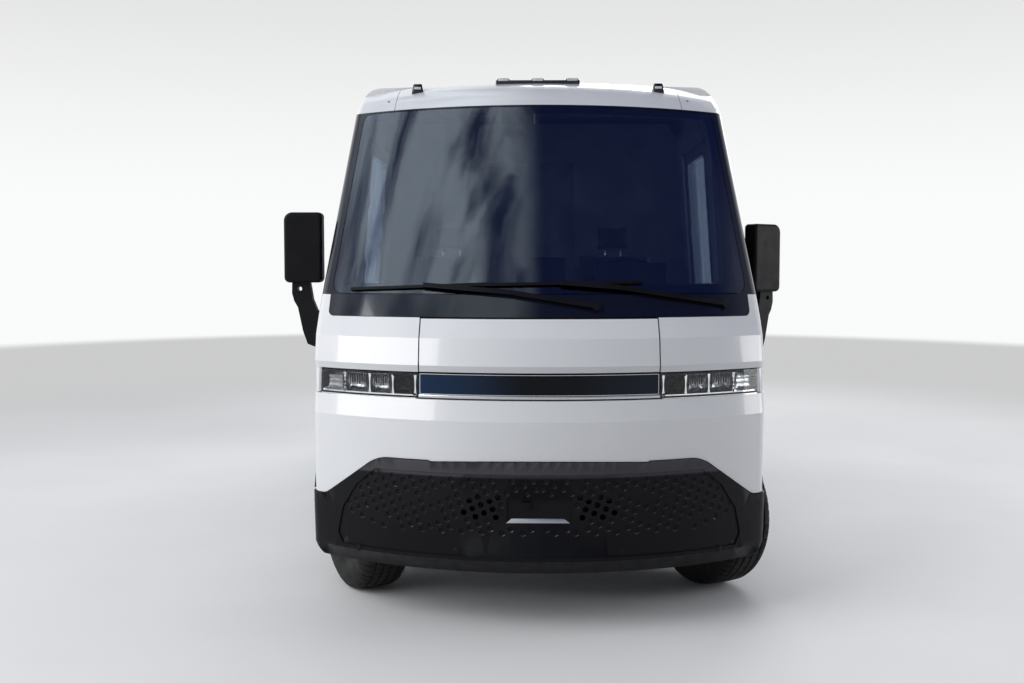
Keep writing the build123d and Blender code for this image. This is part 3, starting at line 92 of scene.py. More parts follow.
# soft studio light: a pale world, dimmer to the vehicle's left front, a key from its right front, faint fills
lightSetup = {
    "light": {"bright": (0.58, 0.595, 0.615), "dim": (0.085, 0.095, 0.135)},
    "seen": {"bright": (0.955, 0.96, 0.965), "dim": (0.34, 0.36, 0.41)},
    "ceiling": {
        "pale": (0.98, 1.12, 1.24), "deep": (0.03, 0.045, 0.16), "between": (0.38, 0.72),
        "stretch": (1.5, 5.0, 1.5), "patches": {"Scale": 2.2, "Detail": 5.0, "Distortion": 0.6},
        "patchy": (0.3, 0.6), "darkBetween": (-0.14, 0.03),
    },
    "backdrop": {"low": (0.955, 0.96, 0.965), "high": (0.74, 0.742, 0.745), "between": (0.05, 0.3)},
    "dimSide": (0.74, -0.66, 0.1), "dimBetween": (0.0, 0.9), "aim": (0, -1.0, 1.2),
    "key": {"energy": 870, "size": 8.5, "place": (-9.0, -7.5, 6.5)},
    "fill": {"energy": 300, "size": 5.0, "place": (9.5, -1.5, 3.0)},
    "rear": {"energy": 420, "size": 7.0, "place": (3.5, 9.5, 7.0)},
}


# one node with its sources and settings, then the joins that the world, the finishes and the floor share
def addNode(tree, kind, sources, **settings):
    node = tree.nodes.new(kind)
    for name, value in settings.items():
        setattr(node, name, value)
    for socket, source in sources.items():
        if hasattr(source, "is_output"):
            tree.links.new(source, node.inputs[socket])
        else:
            node.inputs[socket].default_value = source
    return node


def blended(tree, share, first, second):
    first, second = (value if hasattr(value, "is_output") else (*value, 1) for value in (first, second))
    return addNode(tree, "ShaderNodeMix", {0: share, 6: first, 7: second}, data_type="RGBA").outputs[2]


def eitherShader(tree, share, first, second):
    return addNode(tree, "ShaderNodeMixShader", {"Fac": share, 1: first, 2: second}).outputs["Shader"]


def ramped(tree, value, low, high):
    ends = {"Value": value, "From Min": low, "From Max": high}
    return addNode(tree, "ShaderNodeMapRange", ends, interpolation_type="SMOOTHSTEP").outputs["Result"]


def anyRay(tree, *kinds):
    rays = tree.nodes.new("ShaderNodeLightPath")
    found = rays.outputs[kinds[0]]
    for kind in kinds[1:]:
        either = addNode(tree, "ShaderNodeMath", {0: found, 1: rays.outputs[kind]}, operation="MAXIMUM")
        found = either.outputs[0]
    return found


# the world gives a soft light, shows a cloudy ceiling to gloss and glass, and a pale backdrop to the camera
def makeWorld():
    world = bpy.data.worlds.new("paleStudio")
    world.use_nodes = True
    bpy.context.scene.world = world
    tree = world.node_tree
    light, seen, sky, backdrop = (lightSetup[part] for part in ("light", "seen", "ceiling", "backdrop"))
    lookingTo = tree.nodes.new("ShaderNodeTexCoord").outputs["Generated"]
    across = addNode(tree, "ShaderNodeSeparateXYZ", {0: lookingTo}).outputs
    dimSide, stretch = {0: lookingTo, 1: lightSetup["dimSide"]}, {0: lookingTo, 1: sky["stretch"]}
    toDimSide = addNode(tree, "ShaderNodeVectorMath", dimSide, operation="DOT_PRODUCT")
    dimness = ramped(tree, toDimSide.outputs["Value"], *lightSetup["dimBetween"])
    stretched = addNode(tree, "ShaderNodeVectorMath", stretch, operation="MULTIPLY")
    patches = addNode(tree, "ShaderNodeTexNoise", {"Vector": stretched.outputs["Vector"], **sky["patches"]})
    patchy = ramped(tree, patches.outputs["Fac"], *sky["patchy"])
    ceiling = blended(tree, patchy, sky["deep"], sky["pale"])
    ceiling = blended(tree, ramped(tree, across["X"], *sky["darkBetween"]), ceiling, sky["deep"])
    walls = blended(tree, dimness, seen["bright"], seen["dim"])
    allSeen = blended(tree, ramped(tree, across["Z"], *sky["between"]), walls, ceiling)
    upward = ramped(tree, across["Z"], *backdrop["between"])
    given = tree.nodes["Background"]
    tree.links.new(blended(tree, dimness, light["bright"], light["dim"]), given.inputs["Color"])
    shownTo = [
        addNode(tree, "ShaderNodeBackground", {"Color": colour}).outputs["Background"]
        for colour in (allSeen, blended(tree, upward, backdrop["low"], backdrop["high"]))
    ]
    glossOrGlass = anyRay(tree, "Is Glossy Ray", "Is Transmission Ray")
    mixed = eitherShader(tree, glossOrGlass, given.outputs["Background"], shownTo[0])
    mixed = eitherShader(tree, anyRay(tree, "Is Camera Ray"), mixed, shownTo[1])
    tree.links.new(mixed, tree.nodes["World Output"].inputs["Surface"])


makeWorld()
for lampName in ("key", "fill", "rear"):
    lampLook = lightSetup[lampName]
    bpy.ops.object.light_add(type="AREA", location=lampLook["place"])
    lamp = bpy.context.object
    lamp.name = lampName + "Softbox"
    lamp.data.energy = lampLook["energy"]
    lamp.data.size = lampLook["size"]
    aim = Vector(lightSetup["aim"]) - Vector(lampLook["place"])
    lamp.rotation_euler = aim.to_track_quat("-Z", "Y").to_euler()
bpy.context.scene.view_settings.view_transform = "Standard"
print("camera and light set")


# every finish starts here: one shader with colour, roughness and bump read from object coordinates
plainLook = {
    "Metallic": ("metal", 0.0), "IOR": ("ior", 1.45), "Coat Weight": ("coat", 0.0),
    "Transmission Weight": ("clear", 0.0), "Specular IOR Level": ("shine", 0.5), "Sheen Weight": ("sheen", 0.0),
}
finishSteps = {
    "tint": (0.32, 0.68), "wear": (0.3, 0.7), "mottleScale": 3.0, "mottleDetail": 5.0, "wearScale": 18.0,
    "wearDetail": 6.0, "sweepShare": 0.85, "coatRough": 0.04,
}


# painted light: colour bands along one axis of the vehicle, laid over the mottled colour, that stand in for
# reflections and highlights
def paintedLightBands(tree, place, look, colour):
    sweep = look["sweep"]
    first, last = sweep[0][0], sweep[-1][0]
    along = addNode(tree, "ShaderNodeSeparateXYZ", {"Vector": place}).outputs[look.get("sweepAlong", "X")]
    reach = addNode(tree, "ShaderNodeMapRange", {"Value": along, "From Min": first, "From Max": last})
    bands = addNode(tree, "ShaderNodeValToRGB", {"Fac": reach.outputs["Result"]})
    stops = bands.color_ramp.elements
    for count, (spot, band) in enumerate(sweep):
        share = (spot - first) / (last - first)
        stop = stops[0] if count == 0 else stops[-1] if count == len(sweep) - 1 else stops.new(share)
        stop.position = share
        stop.color = (*band, 1)
    return blended(tree, finishSteps["sweepShare"], colour, bands.outputs["Color"])


def newFinish(name, look):
    finish = bpy.data.materials.new(name)
    finish.use_nodes = True
    tree = finish.node_tree
    shader = tree.nodes["Principled BSDF"]
    for socket, (key, plain) in plainLook.items():
        shader.inputs[socket].default_value = look.get(key, plain)
    shader.inputs["Coat Roughness"].default_value = finishSteps["coatRough"]
    place = tree.nodes.new("ShaderNodeTexCoord").outputs["Object"]
    mottleScale = look.get("mottleScale", finishSteps["mottleScale"])
    mottle = addNode(tree, "ShaderNodeTexNoise", {
        "Vector": place, "Scale": mottleScale, "Detail": finishSteps["mottleDetail"],
    })
    tint = addNode(tree, "ShaderNodeValToRGB", {"Fac": mottle.outputs["Fac"]})
    shades = (look["dark"], look["light"])
    for stop, position, shade in zip(tint.color_ramp.elements, finishSteps["tint"], shades):
        stop.position = position
        stop.color = (*shade, 1)
    colour = tint.outputs["Color"]
    # where a finish lists painted light, its bands go over the mottled colour
    if look.get("sweep"):
        colour = paintedLightBands(tree, place, look, colour)
    tree.links.new(colour, shader.inputs["Base Color"])
    wearScale = look.get("wearScale", finishSteps["wearScale"])
    wear = addNode(tree, "ShaderNodeTexNoise", {
        "Vector": place, "Scale": wearScale, "Detail": finishSteps["wearDetail"],
    })
    spread = addNode(tree, "ShaderNodeMapRange", {
        "Value": wear.outputs["Fac"], "From Min": finishSteps["wear"][0], "From Max": finishSteps["wear"][1],
        "To Min": look["rough"][0], "To Max": look["rough"][1],
    })
    tree.links.new(spread.outputs["Result"], shader.inputs["Roughness"])
    if look.get("grain"):
        kind, scale, height, strength = look["grain"]
        texture, reading = ("Voronoi", "Distance") if kind == "cells" else ("Noise", "Fac")
        grain = addNode(tree, "ShaderNodeTex" + texture, {"Vector": place, "Scale": scale})
        bump = addNode(tree, "ShaderNodeBump", {
            "Distance": height, "Strength": strength, "Height": grain.outputs[reading],
        })
        tree.links.new(bump.outputs["Normal"], shader.inputs["Normal"])
    return finish


finishLooks = {
    "bodyWhite": {
        "dark": (0.745, 0.757, 0.785), "light": (0.80, 0.81, 0.825), "rough": (0.16, 0.26),
        "coat": 0.7, "mottleScale": 0.9, "wearScale": 9.0, "grain": ("noise", 260, 0.0004, 0.05),
    },
    "trimBlack": {
        "dark": (0.005, 0.005, 0.006), "light": (0.009, 0.009, 0.011), "rough": (0.34, 0.48),
        "shine": 0.12, "mottleScale": 4.0, "grain": ("cells", 1300, 0.0004, 0.3),
    },
    # painted highlight: a lighter black for the dimple walls that face up, with more shine
    "trimEdge": {
        "dark": (0.022, 0.022, 0.027), "light": (0.034, 0.034, 0.041), "rough": (0.28, 0.4),
        "shine": 0.5, "mottleScale": 4.0, "grain": ("cells", 1300, 0.0003, 0.2),
    },
    "frameBlack": {
        "dark": (0.018, 0.018, 0.02), "light": (0.035, 0.034, 0.033), "rough": (0.4, 0.62),
        "mottleScale": 12.0, "grain": ("noise", 300, 0.0006, 0.25),
    },
    "glossBlack": {
        "dark": (0.005, 0.006, 0.012), "light": (0.009, 0.011, 0.021), "rough": (0.06, 0.12),
        "coat": 0.2, "mottleScale": 1.5, "grain": ("noise", 200, 0.0003, 0.03),
    },
    "barGlass": {
        "dark": (0.002, 0.004, 0.01), "light": (0.006, 0.012, 0.026), "rough": (0.04, 0.08),
        "shine": 0.12, "mottleScale": 1.2,
        # painted reflection: navy towards negative x, nearly black in the middle, grey-blue towards positive x,
        # for the sky seen in the bar
        "sweep": (
            (-0.56, (0.012, 0.034, 0.085)), (-0.3, (0.008, 0.022, 0.05)), (-0.08, (0.002, 0.003, 0.005)),
            (0.16, (0.002, 0.003, 0.005)), (0.34, (0.008, 0.012, 0.02)), (0.56, (0.014, 0.02, 0.034)),
        ),
    },
    "lampLens": {
        "dark": (0.5, 0.51, 0.53), "light": (0.68, 0.69, 0.71), "rough": (0.08, 0.16),
        "coat": 0.6, "mottleScale": 20.0, "grain": ("cells", 260, 0.0006, 0.3),
    },
    "mirrorSilver": {
        "dark": (0.80, 0.81, 0.82), "light": (0.84, 0.85, 0.86), "rough": (0.01, 0.03),
        "metal": 1.0, "mottleScale": 2.0,
    },
    "screenGlass": {
        "dark": (0.004, 0.005, 0.007), "light": (0.009, 0.011, 0.015), "rough": (0.05, 0.1),
        "coat": 0.3, "mottleScale": 4.0,
    },
    "seatPiping": {
        "dark": (0.10, 0.102, 0.11), "light": (0.16, 0.162, 0.17), "rough": (0.6, 0.75),
        "sheen": 0.3, "mottleScale": 90.0, "grain": ("cells", 1100, 0.0006, 0.5),
    },
    "rimLeather": {
        "dark": (0.012, 0.012, 0.014), "light": (0.024, 0.024, 0.027), "rough": (0.42, 0.58),
        "mottleScale": 30.0, "grain": ("cells", 900, 0.0006, 0.45),
    },
    "clearLens": {
        "dark": (0.93, 0.95, 0.96), "light": (0.97, 0.98, 0.98), "rough": (0.0, 0.02),
        "clear": 1.0, "ior": 1.25, "mottleScale": 6.0,
    },
    "windowGlass": {
        "dark": (0.25, 0.32, 0.44), "light": (0.30, 0.37, 0.49), "rough": (0.0, 0.012),
        "clear": 1.0, "ior": 1.85, "mottleScale": 0.8,
    },
    "sideGlass": {
        "dark": (0.72, 0.76, 0.78), "light": (0.76, 0.8, 0.82), "rough": (0.0, 0.012),
        "clear": 1.0, "ior": 1.5, "mottleScale": 0.8,
    },
    "lampChrome": {
        "dark": (0.74, 0.75, 0.78), "light": (0.88, 0.89, 0.9), "rough": (0.05, 0.14),
        "metal": 1.0, "mottleScale": 22.0,
    },
    "bowlSilver": {
        "dark": (0.2, 0.205, 0.215), "light": (0.42, 0.425, 0.435), "rough": (0.12, 0.24),
        "metal": 1.0, "mottleScale": 30.0,
    },
    "lampDark": {
        "dark": (0.006, 0.006, 0.008), "light": (0.014, 0.014, 0.018), "rough": (0.25, 0.36),
        "shine": 0.12, "mottleScale": 30.0,
    },
    "brightTrim": {
        "dark": (0.47, 0.48, 0.5), "light": (0.52, 0.53, 0.545), "rough": (0.24, 0.3),
        "metal": 1.0, "mottleScale": 5.0, "wearScale": 6.0, "grain": ("noise", 1400, 0.0001, 0.03),
    },
    "lampRed": {
        "dark": (0.3, 0.006, 0.008), "light": (0.42, 0.012, 0.014), "rough": (0.05, 0.12),
        "coat": 0.8, "mottleScale": 10.0, "grain": ("cells", 160, 0.0008, 0.35),
    },
    "lampAmber": {
        "dark": (0.62, 0.19, 0.02), "light": (0.75, 0.27, 0.03), "rough": (0.06, 0.14),
        "coat": 0.8, "mottleScale": 14.0, "grain": ("cells", 220, 0.0008, 0.3),
    },
    "castSteel": {
        "dark": (0.12, 0.12, 0.125), "light": (0.2, 0.195, 0.19), "rough": (0.45, 0.65),
        "metal": 0.8, "mottleScale": 25.0, "grain": ("noise", 240, 0.001, 0.5),
    },
    "wheelSteel": {
        "dark": (0.36, 0.365, 0.375), "light": (0.46, 0.465, 0.47), "rough": (0.26, 0.4),
        "metal": 0.75, "coat": 0.3, "mottleScale": 9.0, "grain": ("noise", 500, 0.0003, 0.12),
    },
    "tyreRubber": {
        "dark": (0.008, 0.008, 0.008), "light": (0.018, 0.018, 0.017), "rough": (0.62, 0.85),
        "shine": 0.3, "mottleScale": 16.0, "grain": ("noise", 420, 0.0008, 0.35),
    },
    "packAlloy": {
        "dark": (0.33, 0.335, 0.345), "light": (0.44, 0.445, 0.45), "rough": (0.35, 0.55),
        "metal": 0.85, "mottleScale": 7.0, "grain": ("noise", 320, 0.0005, 0.25),
    },
    "linerGrey": {
        "dark": (0.22, 0.225, 0.23), "light": (0.3, 0.305, 0.31), "rough": (0.5, 0.68),
        "mottleScale": 5.0, "grain": ("cells", 500, 0.0005, 0.3),
    },
    "seatCloth": {
        "dark": (0.028, 0.029, 0.034), "light": (0.06, 0.061, 0.068), "rough": (0.8, 0.95),
        "sheen": 0.4, "mottleScale": 60.0, "grain": ("cells", 700, 0.0008, 0.6),
    },
    "dashGrey": {
        "dark": (0.035, 0.036, 0.04), "light": (0.055, 0.056, 0.06), "rough": (0.55, 0.72),
        "mottleScale": 6.0, "grain": ("cells", 900, 0.0005, 0.4),
    },
}
# the lower moulding is the same black, with a painted highlight: a paler band along its top border for the
# light and sky reflection on that upward-facing strip
finishLooks["bumperBlack"] = finishLooks["trimBlack"] | {
    "sweep": (
        (0.30, (0.006, 0.006, 0.007)), (0.745, (0.009, 0.009, 0.011)), (0.757, (0.08, 0.079, 0.088)),
        (0.83, (0.09, 0.089, 0.098)),
    ),
    "sweepAlong": "Z",
}
finishes = {name: newFinish(name, look) for name, look in finishLooks.items()}

dressing = {
    "bodyWhite": [
        "front_fascia", "hood", "fender_left", "fender_right", "roof_header", "roof", "cargo_side_left",
        "cargo_side_right", "cab_door_left", "cab_door_right", "rear_frame", "rear_door_left",
        "rear_door_right",
    ],
    "trimBlack": ["lower_bumper", "side_cladding", "rear_bumper", "mirrors", "wipers", "roof_lamps"],
    "frameBlack": ["chassis_frame", "front_structure", "suspension_front", "suspension_rear"],
    "glossBlack": ["windshield_frame"],
    "barGlass": ["light_panel"],
    "clearLens": ["headlamp_lenses"],
    "windowGlass": ["windshield"],
    "sideGlass": ["quarter_glass", "cab_door_glass_left", "cab_door_glass_right"],
    "lampDark": ["headlamp_units"],
    "lampRed": ["tail_lamps"],
    "castSteel": ["knuckle_left", "knuckle_right"],
    "wheelSteel": ["wheel_front_left", "wheel_front_right", "wheel_rear_left", "wheel_rear_right"],
    "tyreRubber": ["tyre_front_left", "tyre_front_right", "tyre_rear_left", "tyre_rear_right"],
    "packAlloy": ["battery_pack"],
    "linerGrey": ["cab_floor", "cargo_floor", "bulkhead", "bulkhead_door"],
    "seatCloth": ["seats"],
    "dashGrey": ["dashboard", "steering_wheel"],
}
for finishName, nodeNames in dressing.items():
    for nodeName in nodeNames:
        slots = nodes[nodeName].material_slots
        if len(slots):
            for slot in slots:
                slot.material = finishes[finishName]
        else:
            nodes[nodeName].data.materials.append(finishes[finishName])
print("CAD nodes dressed")


# search trees of the panels that pieces sit on, and the spot that a straight look from the front finds on one
def treeOf(*pieces):
    spots, faces = [], []
    for piece in pieces:
        start = len(spots)
        spots += [vertex.co.copy() for vertex in piece.data.vertices]
        faces += [tuple(start + index for index in face.vertices) for face in piece.data.polygons]
    return BVHTree.FromPolygons(spots, faces)


def skinOf(nodeName):
    return treeOf(nodes[nodeName])


def spotOn(skin, x, z):
    return skin.ray_cast(Vector((x, -8, z)), Vector((0, 1, 0)))[:2]


def applyAll(piece):
    pick(piece)
    for modifier in list(piece.modifiers):
        bpy.ops.object.modifier_apply(modifier=modifier.name)


def applyPlace(piece):
    pick(piece)
    bpy.ops.object.transform_apply(location=True, rotation=True, scale=True)


# rounds the edges that turn by more than the given degrees
def roundEdges(piece, width, steps=2, turn=30):
    rounding = piece.modifiers.new("rounding", "BEVEL")
    rounding.width = width
    rounding.segments = steps
    rounding.angle_limit = math.radians(turn)
    applyAll(piece)


def standOn(piece, spot, normal):
    piece.rotation_mode = "QUATERNION"
    piece.rotation_quaternion = normal.to_track_quat("Z", "Y")
    piece.location = spot


def settle(piece, body, slotName, finishName, smooth=35):
    applyPlace(piece)
    piece.data.materials.clear()
    piece.data.materials.append(finishes[finishName])
    bpy.ops.object.shade_smooth_by_angle(angle=math.radians(smooth))
    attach(piece, body)
    return piece


def joinPieces(name, parts):
    deselectAll()
    for part in parts:
        part.select_set(True)
    bpy.context.view_layer.objects.active = parts[0]
    bpy.ops.object.join()
    parts[0].name = name
    parts[0].data.name = name
    return parts[0]


def facesOut(piece):
    pick(piece)
    bpy.ops.object.mode_set(mode="EDIT")
    bpy.ops.mesh.select_all(action="SELECT")
    bpy.ops.mesh.remove_doubles(threshold=0.00001)
    bpy.ops.mesh.normals_make_consistent(inside=False)
    bpy.ops.object.mode_set(mode="OBJECT")


# a block between two corners with rounded edges, and one about a width and a height between two depths
def roundedBlock(name, low, high, edge, steps=2):
    deselectAll()
    bpy.ops.mesh.primitive_cube_add(size=1, location=[(a + b) / 2 for a, b in zip(low, high)])
    piece = bpy.context.object
    piece.name = name
    piece.scale = [b - a for a, b in zip(low, high)]
    applyPlace(piece)
    roundEdges(piece, edge, steps)
    return piece


def blockAbout(name, x, z, halfWide, halfTall, front, back, edge, steps=2):
    low, high = (x - halfWide, front, z - halfTall), (x + halfWide, back, z + halfTall)
    return roundedBlock(name, low, high, edge, steps)


# a thin sheet from a grid that is laid point by point, thickened both ways
def laidSheet(name, columns, rows, spotAt, thick, edge=0.0):
    deselectAll()
    bpy.ops.mesh.primitive_grid_add(x_subdivisions=columns, y_subdivisions=rows, size=1)
    sheet = bpy.context.object
    sheet.name = name
    for vertex in sheet.data.vertices:
        vertex.co = spotAt(vertex.co.x + 0.5, vertex.co.y + 0.5)
    wall = sheet.modifiers.new("wall", "SOLIDIFY")
    wall.thickness = thick
    wall.offset = 0
    if edge:
        roundEdges(sheet, edge)
    else:
        applyAll(sheet)
    facesOut(sheet)
    return sheet


# a strip laid on a panel between two widths and two heights; outside the given heights it goes on straight
def stripOn(skin, name, x0, x1, z0, z1, proud, thick, columns, rows, edge=0.0, within=(-9, 9)):
    def spotAt(u, w):
        x, z = x0 + u * (x1 - x0), z0 + w * (z1 - z0)
        spot, normal = spotOn(skin, x, min(max(z, within[0]), within[1]))
        spot = spot + normal * proud
        if not within[0] < z < within[1]:
            spot.z = z
        return spot

    return laidSheet(name, columns, rows, spotAt, thick, edge)


# lower bumper: the CAD moulding with hexagonal dimples pressed into its field
dimples = {
    "origin": (-0.2845, 0.6608), "step": (-0.0401, -0.0190), "column": 0.0949, "rows": (-5, 11),
    "columns": (-14, 14), "radius": 0.0158, "floor": 0.0118, "deep": 0.005, "reach": 0.004, "skipped": 0.1,
    "centre": 0.012, "top": 0.737, "bottom": 0.482, "side": 0.935, "leanFrom": 0.56, "lean": 0.55,
    "leanBelow": 1.9,
    "pierced": ((0, 0), (0, 1), (1, 0), (1, 1), (2, 1), (3, 1), (3, 2), (4, 1), (4, 2), (5, 2), (5, 3)),
    "plate": (0.172, 0.515, 0.672), "smooth": 14, "litFrom": 0.25, "facingFront": -0.05, "sunkFrom": 0.0003,
}
carrying = {"apart": 0.0002, "faceTurn": 0.97, "cornerTurn": 0.9, "inward": 0.02}


# faces that still lie on the plain skin take its smooth normals, so the cuts leave no ripples round them
def carryNormals(plain, pressed):
    source, mesh = plain.data, pressed.data
    tree = treeOf(plain)
    corners = [tuple(normal.vector) for normal in source.corner_normals]
    carried = [tuple(normal.vector) for normal in mesh.corner_normals]
    for face in mesh.polygons:
        spot, normal, index, distance = tree.find_nearest(face.center)
        if distance > carrying["apart"] or normal.dot(face.normal) < carrying["faceTurn"]:
            continue
        for loop in face.loop_indices:
            corner = mesh.vertices[mesh.loops[loop].vertex_index].co
            spot, normal, index, distance = tree.find_nearest(corner.lerp(face.center, carrying["inward"]))
            if normal.dot(face.normal) < carrying["cornerTurn"]:
                continue
            near = source.polygons[index]
            weights = poly_3d_calc([source.vertices[v].co for v in near.vertices], spot)
            smooth = Vector((0, 0, 0))
            for weight, nearLoop in zip(weights, near.loop_indices):
                smooth += Vector(corners[nearLoop]) * weight
            carried[loop] = tuple(smooth.normalized())
    mesh.normals_split_custom_set(carried)


# the walls of the dimples that face up get a smoother, shinier finish in a lighter black, a painted highlight
# for the light they catch
def paintDimpleHighlights(plain, pressed):
    tree = treeOf(plain)
    pressed.data.materials.append(finishes["trimEdge"])
    for face in pressed.data.polygons:
        sunk = tree.find_nearest(face.center)[3] > dimples["sunkFrom"]
        if sunk and face.normal.z > dimples["litFrom"] and face.normal.y < dimples["facingFront"]:
            face.material_index = 1


# slanting rows of dimples, mirrored about the middle, with none at the openings and some left out at random
def dimplePlaces():
    random.seed(7)
    halfPlate, plateLow, plateHigh = dimples["plate"]
    places = []
    for row in range(*dimples["rows"]):
        for column in range(*dimples["columns"]):
            x = dimples["origin"][0] + row * dimples["step"][0] + column * dimples["column"]
            z = dimples["origin"][1] + row * dimples["step"][1]
            lost = random.random() < dimples["skipped"]
            above = z - dimples["leanFrom"]
            leaning = max(0, above) * dimples["lean"] + max(0, -above) * dimples["leanBelow"]
            sideLimit = dimples["side"] - leaning
            inField = dimples["bottom"] < z < dimples["top"] and -sideLimit <= x <= -dimples["centre"]
            onPlate = x > -halfPlate and plateLow < z < plateHigh
            if inField and not (lost or onPlate or (row, column) in dimples["pierced"]):
                places += [(x, z), (-x, z)]
    return places


def makeBumperSkin():
    skin = skinOf("lower_bumper")
    pick(nodes["lower_bumper"])
    bpy.ops.object.duplicate()
    moulding = bpy.context.object
    moulding.name = "bumperMoulding"
    # the copy drops the marks that tell it for a CAD node
    for key in list(moulding.keys()):
        del moulding[key]
    facesOut(moulding)
    bpy.ops.object.duplicate()
    plain = bpy.context.object
    bpy.ops.object.shade_smooth_by_angle(angle=math.radians(dimples["smooth"]))
    cutters = []
    deep, reach = dimples["deep"], dimples["reach"]
    slope = (dimples["radius"] - dimples["floor"]) / deep
    for x, z in dimplePlaces():
        spot, normal = spotOn(skin, x, z)
        deselectAll()
        bpy.ops.mesh.primitive_cone_add(
            vertices=6, radius1=dimples["floor"], radius2=dimples["radius"] + slope * reach, depth=deep + reach,
        )
        standOn(bpy.context.object, spot + normal * ((reach - deep) / 2), normal)
        cutters.append(bpy.context.object)
    hexes = joinPieces("dimpleCutters", cutters)
    applyPlace(hexes)
    pressing = moulding.modifiers.new("pressing", "BOOLEAN")
    pressing.operation = "DIFFERENCE"
    pressing.object = hexes
    pressing.solver = "EXACT"
    applyAll(moulding)
    bpy.data.objects.remove(hexes)
    settle(moulding, "body", "trim_black", "bumperBlack", dimples["smooth"])
    carryNormals(plain, moulding)
    paintDimpleHighlights(plain, moulding)
    bpy.data.objects.remove(plain)
    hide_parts("lower_bumper")
    print("bumper moulding pressed with", len(cutters), "dimples")


makeBumperSkin()

# headlamps: fluted bowls, one dark cell and a marker cell behind each lens, parted by bright fins
# hollow is how square a bowl is across and upward, crease a depth and sharpness, ribs a depth and count
lampCells = {
    "edges": (0.583, 0.694, 0.812, 0.943), "outer": 0.016, "kinds": ("dark", "fluted", "fluted", "marker"),
    "margins": (0.010, 0.011), "within": 0.004, "behind": 0.0105, "deep": 0.044, "wall": 0.0015, "rows": 18,
    "columns": {"dark": 28, "fluted": 54, "marker": 28}, "hollow": (5, 3.5), "markerShare": 0.6,
    "flutes": 9, "fluteDepth": 0.0035, "fluteFrom": 0.42, "fluteEase": 6, "crease": (0.012, 9),
    "ribs": (0.004, 5),
}
lampFins = {"wide": 0.025, "waist": 0.34, "flare": 1.6, "taper": 0.45, "deep": 0.034, "behind": 0.0095}
lampSlatLook = {
    "from": 0.46, "behind": 0.021, "share": 0.66, "margin": 0.008, "vary": 0.25, "stagger": 0.006,
    "thick": 0.0016, "edge": 0.0005,
}
lampRims = {
    "past": 0.004, "out": 0.002, "tall": 0.006, "proud": -0.0095, "thick": 0.002, "columns": 60,
    "bezelAbove": (0.0004, 0.0054), "bezelBelow": (-0.0034, -0.0004), "bezelProud": 0.001, "bezelThick": 0.003,
}


def lampBowl(skin, side, x0, x1, z0, z1, kind):
    look = lampCells

    def spotAt(u, w):
        x, z = side * (x0 + u * (x1 - x0)), z0 + w * (z1 - z0)
        front = spotOn(skin, x, min(max(z, z0 + look["within"]), z1 - look["within"]))[0].y
        acrossPower, upPower = look["hollow"]
        deep = look["deep"] * (1 - abs(2 * u - 1) ** acrossPower) * (1 - abs(2 * w - 1) ** upPower)
        if kind == "fluted" and w > look["fluteFrom"]:
            ease = min(1, (w - look["fluteFrom"]) * look["fluteEase"])
            deep -= look["fluteDepth"] * abs(math.sin(math.pi * u * look["flutes"])) * ease
        if kind == "dark":
            deep -= look["crease"][0] * max(0, 1 - abs(u - w) * look["crease"][1])
        if kind == "marker":
            deep = deep * look["markerShare"] - look["ribs"][0] * abs(math.sin(math.pi * w * look["ribs"][1]))
        return x, front + look["behind"] + deep, z

    return laidSheet("lampBowl", look["columns"][kind], look["rows"], spotAt, look["wall"])


def lampFin(skin, side, x, z0, z1):
    look = lampFins
    deselectAll()
    bpy.ops.mesh.primitive_cube_add(size=1)
    fin = bpy.context.object
    bpy.ops.object.mode_set(mode="EDIT")
    bpy.ops.mesh.subdivide(number_cuts=9)
    bpy.ops.object.mode_set(mode="OBJECT")
    for vertex in fin.data.vertices:
        u, v, w = vertex.co.x, vertex.co.y + 0.5, vertex.co.z + 0.5
        waist = look["waist"] + (1 - look["waist"]) * abs(2 * w - 1) ** look["flare"]
        finX = side * x + u * look["wide"] * waist * (1 - look["taper"] + look["taper"] * v)
        front = spotOn(skin, finX, (z0 + z1) / 2)[0].y
        vertex.co = (finX, front + look["behind"] + v * look["deep"], z0 + w * (z1 - z0))
    facesOut(fin)
    return fin


# dark slats over the upper part of a fluted bowl leave narrow bright lines between them
def lampSlats(skin, side, x0, x1, z0, z1):
    look = lampSlatLook
    slats = []
    zLow, zHigh = z0 + look["from"] * (z1 - z0), z1 - lampCells["within"]
    pitch = (x1 - x0 - 2 * look["margin"]) / lampCells["flutes"]
    for count in range(lampCells["flutes"]):
        middle = x0 + look["margin"] + (count + 0.5) * pitch
        wide = pitch * look["share"] * (1 - look["vary"] + look["vary"] * math.sin(count * 2.1))
        ends = sorted((side * (middle - wide / 2), side * (middle + wide / 2)))
        foot = zLow - look["stagger"] * math.sin(count * 1.7)
        slats.append(stripOn(
            skin, "lampSlat", *ends, foot, zHigh, -look["behind"], look["thick"], 1, 4, look["edge"],
        ))
    return slats


